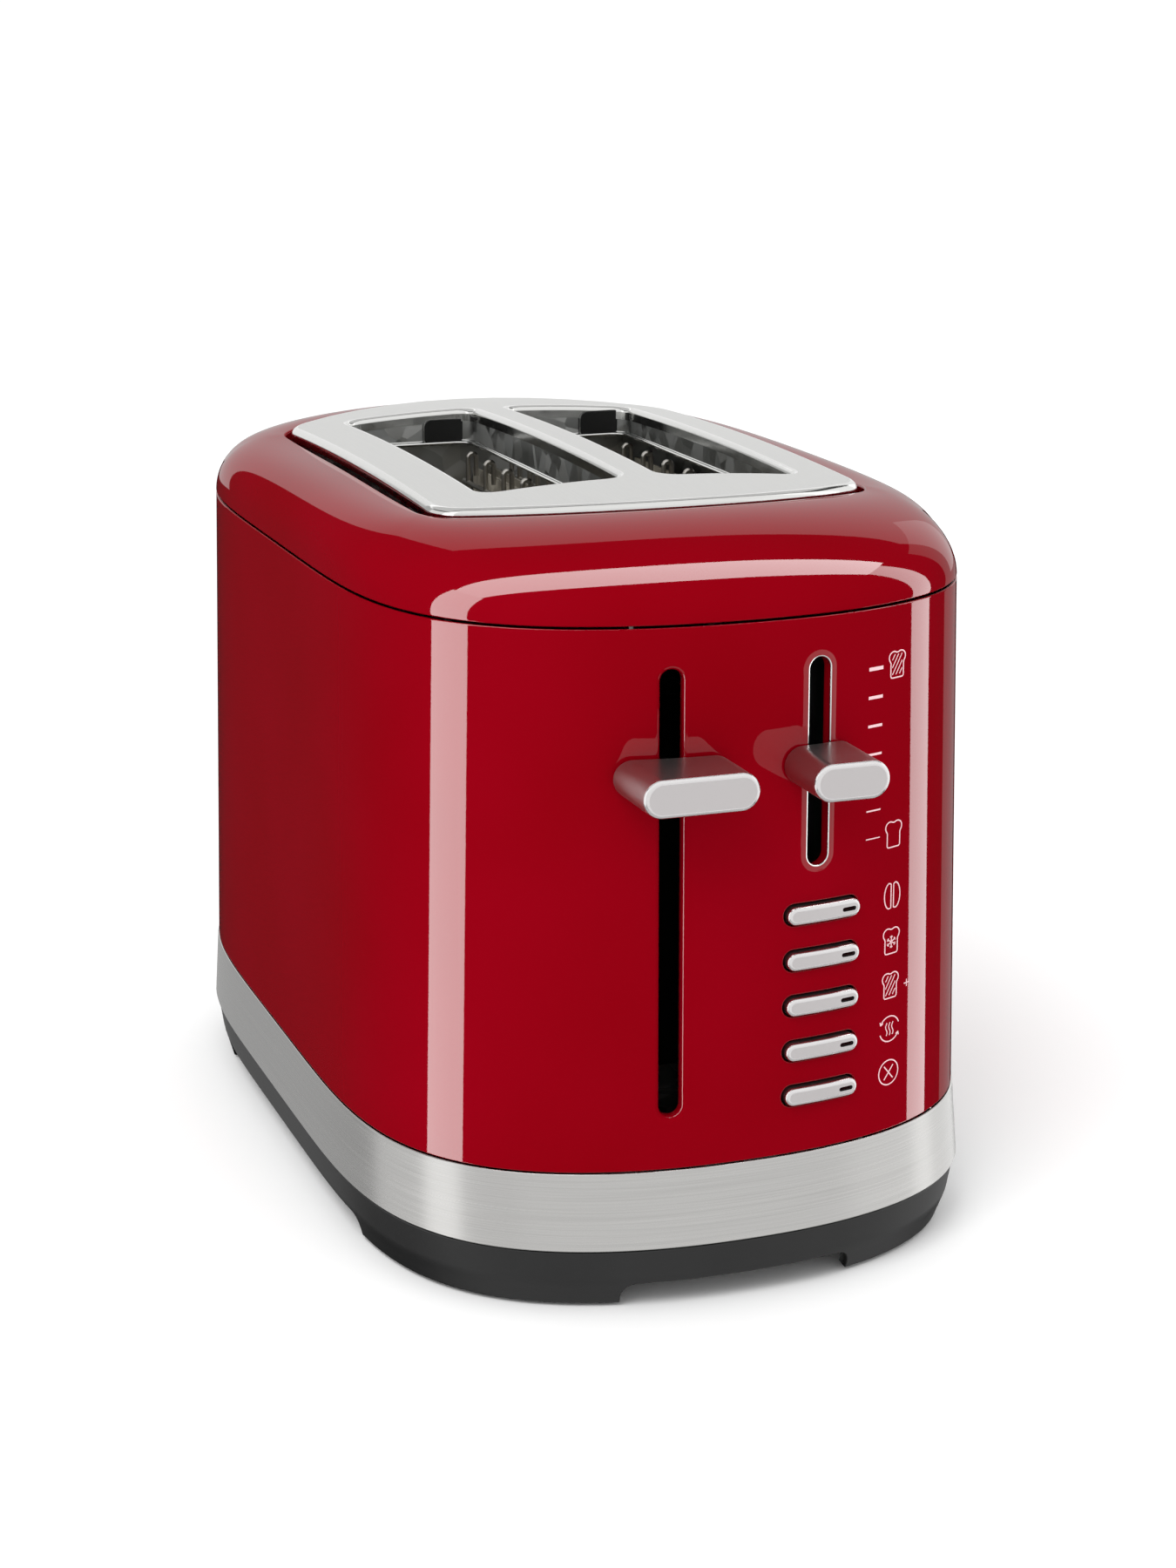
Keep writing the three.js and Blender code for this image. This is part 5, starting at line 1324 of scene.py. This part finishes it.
for name, x in (("outer_left", -52.3), ("inner_left", -2.6), ("inner_right", 2.6),
                ("outer_right", 52.3)):
    outline = [(-CARD_END, CARD_LOW), (CARD_END, CARD_LOW)]
    for row_number in range(1, ROWS_OF_RIBBON + 1):
        z = CARD_LOW + row_number * RIBBON_PITCH
        outline += [(CARD_END, z - NOTCH_MOUTH), (CARD_END - NOTCH_DEEP, z - NOTCH_ROOT),
                    (CARD_END - NOTCH_DEEP, z + NOTCH_ROOT), (CARD_END, z + NOTCH_MOUTH)]
    outline += [(CARD_END, CARD_TOP)]
    outline += [(-y, z) for y, z in reversed(outline[2:])]
    card = Shell()
    sides = [[(x + side * CARD_HALF, y, z) for y, z in outline] for side in (-1, 1)]
    for spots, side in zip(sides, (-1, 1)):
        card.face(card.add(spots, [Vector((side, 0, 0))] * len(outline)))
    edge_normals = [Vector((0, y, z - CARD_MIDDLE)) for y, z in outline]
    card.join(*(card.add(spots, edge_normals) for spots in sides))
    heater = card.piece("mica_card_" + name, [mica_board], keep_normals=False)
    settle(heater, BASE_BODY, "mica", "heater_" + name)
    ribbon = run_tree("ribbon_" + name, winding, [(x, 0, CARD_LOW + RIBBON_PITCH)],
                      Rows=ROWS_OF_RIBBON, Pitch=RIBBON_PITCH * MM, Length=0.1398, Gap=0.0012)
    settle(ribbon, BASE_BODY, "mica")

# %% [markdown]
# ### Bread lifters
# A lifter is a strip of steel on edge with cross rungs under the bread. Each rung is a short
# flat bar with rounded edges, and the tree sets it at even steps along the strip.

# %% Bread lifters
lifter_tree, given = start_tree("lifter_bar", Length=0.165, Thickness=0.0016, Height=0.007,
                                Count=1, Pitch=0.017, Round=0.0004)
bar_start = add_node(lifter_tree, "ShaderNodeCombineXYZ", {
    "Y": times(lifter_tree, given["Length"], -0.5)})
bar_end = add_node(lifter_tree, "ShaderNodeCombineXYZ", {
    "Y": times(lifter_tree, given["Length"], 0.5)})
bar_line = add_node(lifter_tree, "GeometryNodeCurvePrimitiveLine", {
    "Start": bar_start.outputs["Vector"], "End": bar_end.outputs["Vector"]})
upright_normal = add_node(lifter_tree, "GeometryNodeSetCurveNormal", {
    "Curve": bar_line.outputs["Curve"]}, mode="Z_UP")
bar_section = add_node(lifter_tree, "GeometryNodeCurvePrimitiveQuadrilateral", {
    "Width": given["Thickness"], "Height": given["Height"]})
bar_eased = add_node(lifter_tree, "GeometryNodeFilletCurve", {
    "Curve": bar_section.outputs["Curve"], "Radius": given["Round"], "Count": 3}, mode="POLY")
bar = sweep(lifter_tree, upright_normal.outputs["Curve"], bar_eased.outputs["Curve"])
bar_step = add_node(lifter_tree, "ShaderNodeCombineXYZ", {"Y": given["Pitch"]})
bar_row = add_node(lifter_tree, "GeometryNodeMeshLine", {"Count": given["Count"],
                                                         "Offset": bar_step.outputs["Vector"]})
bar_copies = add_node(lifter_tree, "GeometryNodeInstanceOnPoints", {
    "Points": bar_row.outputs["Mesh"], "Instance": bar})
bar_placed = add_node(lifter_tree, "GeometryNodeInstanceOnPoints", {
    "Points": given["Points"], "Instance": bar_copies.outputs["Instances"]})
end_tree(lifter_tree, bar_placed.outputs["Instances"], zinc_sheet)
LIFT_TOP, LIFT_HALF, RUNG_SUNK, RUNGS, RUNG_END = 134.1, 3.5, 0.6, 8, 59.85
LIFTER_FRONT, LIFTER_BACK = -80.95, 81.85
for side, name in ((-1, "left"), (1, "right")):
    x = side * SLOT_X
    lifter = run_tree("bread_lifter_" + name, lifter_tree,
                      [(x, (LIFTER_FRONT + LIFTER_BACK) / 2, LIFT_TOP - LIFT_HALF)],
                      Length=(LIFTER_BACK - LIFTER_FRONT) * MM)
    rungs = run_tree("rungs", lifter_tree, [(x, -RUNG_END, LIFT_TOP - RUNG_SUNK)], Length=0.0016,
                     Thickness=0.014, Height=0.002, Count=RUNGS,
                     Pitch=2 * RUNG_END / (RUNGS - 1) * MM)
    merge(lifter, rungs)
    settle(lifter, "carriage", "zinc_sheet", "bread_lifter_" + name)

# %% [markdown]
# ## Slot throats
# Under each slot's lip hangs a short zinc-dipped collar that guides the slice. Its lower edge
# is rolled and catches the light. At the back of each slot a black plate stands for the dark gap
# left for the lifter's frame: painted shade of that opening.

# %% Slot throats
THROAT_LOW, THROAT_TOP_DEPTH, THROAT_GAP = 198.2, 3.6, 0.2
HEM_BACK, HEM_RETURN = 0.6, 5
# Each ring of the hem is (growth, rise, lean of its normal in degrees).
HEM = [(0.0, 1.5, 0), (-0.2, 1.3, 45), (-0.5, 1.2, 75), (-0.9, 1.05, 55), (-1.1, 0.7, 10),
       (-1.0, 0.25, -40), (-0.6, 0.0, -90), (HEM_BACK, 0.0, -90)]
# The black plate at the back of each slot: painted shade standing in for the dark opening there.
GAP_X, GAP_Z, GAP_WIDE, GAP_TALL, GAP_CORNER = 12.2, 202.2, 14.5, 8.6, 2.6
GAP_PROUD, GAP_BEHIND = 0.6, 0.1


def shade_plate_front(x, z, depth=0.0):
    return Vector((x, SLOT_LONG / 2 - GAP_PROUD + depth, z)), Vector((0, -1, 0))


def shade_plate_back(x, z, depth=0.0):
    return Vector((x, SLOT_LONG / 2 + GAP_BEHIND, z)), Vector((0, -1, 0))


for side, name in ((-1, "left"), (1, "right")):
    outline = rounded_box(side * SLOT_X, 0, SLOT_WIDE + 2 * THROAT_GAP, SLOT_LONG + 2 * THROAT_GAP,
                          SLOT_CORNER + THROAT_GAP)
    throat = Shell()
    inner_normals = [Vector((-out.x, -out.y, 0)) for _, out in outline]
    before = throat.add([crown(p.x, p.y, THROAT_TOP_DEPTH)[0] for p, _ in outline], inner_normals)
    for growth, rise, lean in HEM:
        turn = math.radians(lean)
        normals = [n * math.cos(turn) + Vector((0, 0, math.sin(turn))) for n in inner_normals]
        following = throat.add([(*p, THROAT_LOW + rise) for p in grown(outline, growth)], normals)
        throat.join(before, following, finish_number=int(growth < 0))
        before = following
    backs = [throat.add([(*p, THROAT_LOW + rise) for p in grown(outline, HEM_BACK)],
                        [-n for n in inner_normals]) for rise in (0, HEM_RETURN)]
    throat.join_all([before, *backs])
    settle(throat.piece("slot_throat_" + name, [zinc_sheet, polished_lip]), BASE_BODY, "zinc_sheet")
    shade_plate_outline = rounded_box(side * SLOT_X + GAP_X, GAP_Z, GAP_WIDE, GAP_TALL, GAP_CORNER)
    shade_plate = cap("lifter_gap_" + name, shade_plate_outline, shade_plate_front, shade_plate_back, 0.3,
                    [black_plastic, zinc_sheet], steps=2)
    settle(shade_plate, BASE_BODY, "black_plastic")

# %% [markdown]
# ## The slider's collar
# Round the slider's slot the sleeve is pressed up into a low collar with a soft shoulder. Its
# tightly rolled inner edge is given polished steel in place of red paint: a painted highlight for
# the bright line that the paint shows there. It is a few rings of the slot's outline, each a little
# wider and lower than the last.

# %% The slider's collar
# Each ring is (growth, depth under the sleeve's skin, lean of its normal in degrees).
COLLAR = [(1.9, 0.02, 0), (1.6, -0.03, -8), (1.2, -0.08, -6), (0.9, -0.1, 0), (0.35, -0.1, 0),
          (0.12, -0.08, 30), (0.0, 0.02, 65), (-0.04, 0.22, 90), (-0.04, 1.2, 90)]
collar_shell = Shell()
before = None
for growth, depth, lean in COLLAR:
    turn = math.radians(lean)
    points, normals = [], []
    for p, (_, out) in zip(grown(slider_outline, growth), slider_outline):
        place, up = sleeve_front(p[0], p[1], depth)
        points.append(place)
        normals.append(up * math.cos(turn) - Vector((out.x, 0, out.y)) * math.sin(turn))
    following = collar_shell.add(points, normals)
    if before:
        # The inner rings take polished steel: a painted highlight where the rolled red paint shines.
        bright = growth < 0.2 and depth < 0.5
        collar_shell.join(following, before, finish_number=int(bright))
    before = following
collar = collar_shell.piece("slider_collar", [red_enamel, polished_lip])
settle(collar, BASE_BODY, "red_enamel")
# It also sees the metal's panels, so that its steel edge shines as the painted highlight line.
metal_pieces.objects.link(collar)

# %% [markdown]
# ## Crumb tray
# The tray is folded from thin zinc-dipped sheet: rounded corners, a hemmed rim and low walls,
# so it is a few rings of one rounded rectangle. Its handle is black plastic that fills the
# window in the band, with a lip to pull.

# %% Crumb tray
TRAY_LOW, TRAY_TOP, TRAY_MID_Y = 21.0, 29.0, 7.0
TRAY_WIDE, TRAY_LONG, TRAY_CORNER = 96, 254, 4


def stacked(shell, outline, middle, rings):
    """Rings (growth, level, (outward, upward) normal) of an outline, closed low and high."""
    ids = [shell.add([(*p, z) for p in grown(outline, growth)],
                     [Vector((out.x * outward, out.y * outward, upward)) for _, out in outline])
           for growth, z, (outward, upward) in rings]
    shell.join_all(ids)
    shell.fill(ids[0], (*middle, rings[0][1]), -1)
    shell.fill(ids[-1], (*middle, rings[-1][1]), 1)


tray_shell = Shell()
stacked(tray_shell, rounded_box(0, TRAY_MID_Y, TRAY_WIDE, TRAY_LONG, TRAY_CORNER), (0, TRAY_MID_Y), [
    (-1.5, TRAY_LOW, (0, -1)), (-0.45, TRAY_LOW + 0.4, (0.7, -0.7)), (0, TRAY_LOW + 1.5, (1, 0)),
    (0, TRAY_TOP - 0.8, (1, 0)), (-0.25, TRAY_TOP - 0.2, (0.7, 0.7)), (-0.8, TRAY_TOP, (0, 1)),
    (-1.35, TRAY_TOP - 0.2, (-0.7, 0.7)), (-1.6, TRAY_TOP - 0.8, (-1, 0)),
    (-1.0, TRAY_TOP - 2.5, (-1, 0)), (-1.0, TRAY_LOW + 2.0, (-1, 0)),
    (-1.4, TRAY_LOW + 1.2, (-0.7, 0.7)), (-2.4, TRAY_LOW + 0.9, (0, 1)),
])
tray = tray_shell.piece("folded_crumb_tray", [zinc_sheet])
settle(tray, "crumb_tray", "zinc_sheet", "crumb_tray")

# %% Tray handle
band_back = BAND.at_x(1)


def handle_front(x, z, depth=0.0):
    return band_back(x, z, depth)


def handle_back(x, z, depth=0.0):
    return band_back(x, z, SHEET)


GAP_ENDS, GAP_ABOVE, HANDLE_ROLL = 0.5, 0.4, 0.5
handle_outline = rounded_box(0, WINDOW_Z, WINDOW_WIDE - 2 * GAP_ENDS,
                             WINDOW_TALL - 2 * GAP_ABOVE, 1.6)
handle = cap("tray_handle", handle_outline, handle_front, handle_back, HANDLE_ROLL,
             [base_plastic, base_plastic], steps=4)
PULL_Y, PULL_OUT, PULL_HALF, PULL_CORNER = 147.0, 4.8, 22.0, 3.0
PULL_LOW, PULL_TOP, PULL_ROLL = 29.0, 31.4, 0.7
pull_shell = Shell()
pull_outline = rounded_box(0, PULL_Y, 2 * PULL_HALF, 2 * PULL_OUT, PULL_CORNER)
stacked(pull_shell, pull_outline, (0, PULL_Y), [
    (-PULL_ROLL, PULL_LOW, (0, -1)), (0, PULL_LOW + PULL_ROLL, (1, 0)),
    (0, PULL_TOP - PULL_ROLL, (1, 0)), (-PULL_ROLL, PULL_TOP, (0, 1)),
])
merge(handle, pull_shell.piece("pull", [base_plastic]))
settle(handle, "crumb_tray", "base_plastic", "crumb_tray_handle")

# %% [markdown]
# ## Mains inlet
# The cord leaves through a turned phenolic bush at the back, low in the middle. It is a
# profile of radius and depth, spun round its axis. No cord is made, so its bore has a floor.

# %% Mains inlet
INLET_Z = 56.0
inlet_y = SLEEVE.at_x(1)(0, INLET_Z)[0].y
INLET_PROFILE = [(0.01, 0.4, (0, 1)), (3.6, 0.4, (0, 1)), (3.6, 0.4, (-1, 0)),
                 (3.6, 1.9, (-1, 0)), (3.9, 2.7, (-0.7, 0.7)), (4.6, 3.0, (0, 1)),
                 (8.3, 3.0, (0, 1)), (9.0, 2.75, (0.5, 0.85)),
                 (9.4, 2.1, (0.9, 0.4)), (9.5, 1.2, (1, 0)), (9.5, 0.15, (1, 0))]
inlet_shell = Shell()
ROUND = 48
around = [2 * math.pi * k / ROUND for k in range(ROUND)]
rings = [inlet_shell.add(
    [(r * math.cos(t), inlet_y + y, INLET_Z + r * math.sin(t)) for t in around],
    [Vector((flat_part * math.cos(t), along, flat_part * math.sin(t))) for t in around])
    for r, y, (flat_part, along) in INLET_PROFILE]
inlet_shell.join_all(rings)
inlet = inlet_shell.piece("inlet_bush", [black_plastic])
settle(inlet, BASE_BODY, "black_plastic", "cord_inlet")

# %% [markdown]
# ## Printed marks
# Marks beside the slider and the buttons are printed in white ink: plain pictures of bread, no
# words. Each is a few strokes drawn flat. The tree gives the strokes a thin square section and
# then casts each point straight back onto the sleeve, so that the ink lies on its curve.

# %% Pen strokes
INK, FINE_INK, HATCH_INK, FORK_INK, ICON_X = 0.34, 0.3, 0.26, 0.24, 45.3
strokes = []


def stroke(points, width=INK, closed=False):
    strokes.append((points, width, closed))


def arc(cx, cz, radius, start, end, steps=14):
    return [(cx + radius * math.cos(math.radians(start + (end - start) * k / steps)),
             cz + radius * math.sin(math.radians(start + (end - start) * k / steps)))
            for k in range(steps + 1)]


def ray_from(tip, lean, length, width):
    """A short stroke that leaves a point at a lean in degrees."""
    turn = math.radians(lean)
    stroke([tip, (tip[0] + length * math.cos(turn), tip[1] + length * math.sin(turn))], width)


print("nib widths:", FORK_INK, "to", INK, "mm")


# %% A slice of bread
HATCH_STEP, HATCH_LEAN, HATCH_HIGH, HATCH_HALF = 1.25, 0.62, 2.7, 1.75


def bread(z):
    """A slice: straight sides, a rounded foot and two lobes on top."""
    outline = arc(-1.8, -3.1, 0.45, 180, 270, 4) + arc(1.8, -3.1, 0.45, 270, 360, 4)
    outline += [(2.25, 0.5)] + arc(1.3, 1.9, 1.6, -38, 110, 10) + [(0, 3.1)]
    outline += arc(-1.3, 1.9, 1.6, 70, 218, 10) + [(-2.25, 0.5)]
    stroke([(ICON_X + x, z + dz) for x, dz in outline], closed=True)


def hatch(z):
    """Slanting strokes for toasted bread, kept inside the slice."""
    for shift in range(-3, 4):
        across = shift * HATCH_STEP
        ends = []
        for x in (across - HATCH_HIGH * HATCH_LEAN, across + HATCH_HIGH * HATCH_LEAN):
            x = max(-HATCH_HALF, min(HATCH_HALF, x))
            ends.append((x, (x - across) / HATCH_LEAN))
        if abs(ends[0][0] - ends[1][0]) > 0.4:
            stroke([(ICON_X + x, z + dz) for x, dz in ends], HATCH_INK)


# %% Pictures for the buttons
def bagel(z):
    """Two halves, cut side to cut side."""
    for side in (-1, 1):
        cut_x, half_high = ICON_X + side * 0.45, 3.3
        bow = [(ICON_X + side * (0.9 + 1.9 * math.cos(math.radians(lean))),
                z + 3.6 * math.sin(math.radians(lean))) for lean in range(80, -81, -10)]
        stroke([(cut_x, z - half_high), (cut_x, z + half_high)] + bow, closed=True)


def snowflake(z):
    arm, fork_at, fork_long = 1.7, 1.1, 0.6
    for lean in (30, 90, 150):
        c, d = math.cos(math.radians(lean)), math.sin(math.radians(lean))
        stroke([(ICON_X - arm * c, z - arm * d), (ICON_X + arm * c, z + arm * d)], FINE_INK)
        for end in (-1, 1):
            tip = (ICON_X + end * fork_at * c, z + end * fork_at * d)
            for fork in (-50, 50):
                ray_from(tip, lean + fork, end * fork_long, FORK_INK)


def plus(x, z):
    stroke([(x - 1, z), (x + 1, z)], FINE_INK)
    stroke([(x, z - 1), (x, z + 1)], FINE_INK)


def reheat(z):
    """Three wavy lines of heat inside two arrows that chase each other."""
    radius, span = 3.55, 135
    for start in (20, 200):
        stroke(arc(ICON_X, z, radius, start, start + span, 24))
        tip = arc(ICON_X, z, radius, start + span, start + span, 1)[0]
        for fork in (-35, 35):
            ray_from(tip, start + span - 90 + fork, 1.0, FINE_INK)
    for dx in (-1.1, 0, 1.1):
        stroke([(ICON_X + dx + 0.3 * math.sin(k * 0.7), z - 1.8 + 0.36 * k) for k in range(11)],
               FINE_INK)


def cancel(z):
    """A cross in a ring."""
    stroke(arc(ICON_X, z, 3.5, 0, 350, 35), closed=True)
    for side in (-1, 1):
        stroke([(ICON_X - 1.6, z - side * 1.9), (ICON_X + 1.6, z + side * 1.9)])


# %% All the marks
TICK_TOP, TICK_BOTTOM, TICKS = 167.8, 122.0, 7
TICK_LEFT, TICK_RIGHT, TICK_INK, TICK_THINNING = 35.7, 40.4, 0.95, 0.65
for k in range(TICKS):
    z = TICK_TOP + (TICK_BOTTOM - TICK_TOP) * k / (TICKS - 1)
    stroke([(TICK_LEFT, z), (TICK_RIGHT, z)], TICK_INK - TICK_THINNING * k / (TICKS - 1))
DARK_Z, LIGHT_Z, BAGEL_Z, FROZEN_Z, EXTRA_Z, REHEAT_Z, CANCEL_Z = (
    167.9, 121.9, 104.9, 92.3, 79.8, 67.5, 55.1)
bread(DARK_Z)
hatch(DARK_Z)
bread(LIGHT_Z)
bagel(BAGEL_Z)
bread(FROZEN_Z)
snowflake(FROZEN_Z - 0.3)
bread(EXTRA_Z)
hatch(EXTRA_Z)
plus(ICON_X + 6.1, EXTRA_Z - 0.8)
reheat(REHEAT_Z)
cancel(CANCEL_Z)
print("strokes:", len(strokes))

# %% Ink laid on the sleeve
ink, given = start_tree("ink_on_paint", Thickness=0.00006, Breadth=0.00034, Sleeve=None)
lines = add_node(ink, "GeometryNodeMeshToCurve", {"Mesh": given["Points"]})
facing = add_node(ink, "GeometryNodeSetCurveNormal", {"Curve": lines.outputs["Curve"],
                                                      "Normal": (0, -1, 0)}, mode="FREE")
fine = add_node(ink, "GeometryNodeResampleCurve", {"Curve": facing.outputs["Curve"],
                                                   "Length": 0.0005}, mode="LENGTH")
nib = add_node(ink, "GeometryNodeCurvePrimitiveQuadrilateral", {
    "Width": given["Thickness"], "Height": given["Breadth"]})
laid_ink = sweep(ink, fine.outputs["Curve"], nib.outputs["Curve"])
target = add_node(ink, "GeometryNodeObjectInfo", {"Object": given["Sleeve"]})
spot = add_node(ink, "GeometryNodeInputPosition")
split = add_node(ink, "ShaderNodeSeparateXYZ", {"Vector": spot.outputs["Position"]})
START_Y = -0.3  # metres, a plane well in front of the sleeve
far_spot = add_node(ink, "ShaderNodeCombineXYZ", {
    "X": split.outputs["X"], "Y": START_Y, "Z": split.outputs["Z"]})
hit = add_node(ink, "GeometryNodeRaycast", {
    "Target Geometry": target.outputs["Geometry"], "Source Position": far_spot.outputs["Vector"],
    "Ray Direction": (0, 1, 0), "Ray Length": 1.0})
proud = add_node(ink, "ShaderNodeMath", {0: split.outputs["Y"], 1: -START_Y}, operation="ADD")
ahead = add_node(ink, "ShaderNodeCombineXYZ", {"Y": proud.outputs["Value"]})
onto = add_node(ink, "ShaderNodeVectorMath", {0: hit.outputs["Hit Position"],
                                              1: ahead.outputs["Vector"]}, operation="ADD")
pressed = add_node(ink, "GeometryNodeSetPosition", {"Geometry": laid_ink,
                                                    "Position": onto.outputs["Vector"]})
end_tree(ink, pressed.outputs["Geometry"], printed_ink)
ink_parts = []
for width in sorted({w for _, w, _ in strokes}):
    points, edges = [], []
    for line, w, closed in strokes:
        if w == width:
            first = len(points)
            points += [(x, (START_Y - MID_Y) / MM, z) for x, z in line]
            edges += [(first + k, first + k + 1) for k in range(len(line) - 1)]
            if closed:
                edges.append((first + len(line) - 1, first))
    ink_parts.append(run_tree("ink_%d" % round(width * 100), ink, points, edges,
                              Breadth=width * MM, Sleeve=sleeve))
marks = ink_parts[0]
merge(*ink_parts)
marks.name = "printed_marks"
settle(marks, BASE_BODY, "red_enamel")

# %% [markdown]
# ## Parts kept from the engineering model
# The chassis, spring, magnet, boards and levers inside are already the right shape. They only
# need their finishes, given by the parts' names.

# %% Finishes of the parts inside
KEPT = {
    zinc_sheet: ("front_end_plate", "rear_end_plate", "side_shield_left", "side_shield_right",
                 "magnet_core"),
    # The parts behind the lever's slot are near-black: painted shade inside the slot.
    blackened_steel: ("carriage", "lever_arm", "lift_spring", "armature"),
    rack_wire: ("guide_rod_left", "guide_rod_right"),
    enamelled_wire: ("magnet_coil",),
    black_plastic: ("front_liner", "browning_control", "slider_stem", "insulating_card"),
    foot_rubber: ("switch_mat",),
    circuit_board: ("control_board",),
    white_nylon: ("terminal_block",),
}
for made, names in KEPT.items():
    for name in names:
        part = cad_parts[name]
        if part.material_slots:
            part.material_slots[0].material = made
        else:
            part.data.materials.append(made)
        if made in (zinc_sheet, rack_wire, enamelled_wire):
            metal_pieces.objects.link(part)
print("kept parts:", sum(len(names) for names in KEPT.values()))
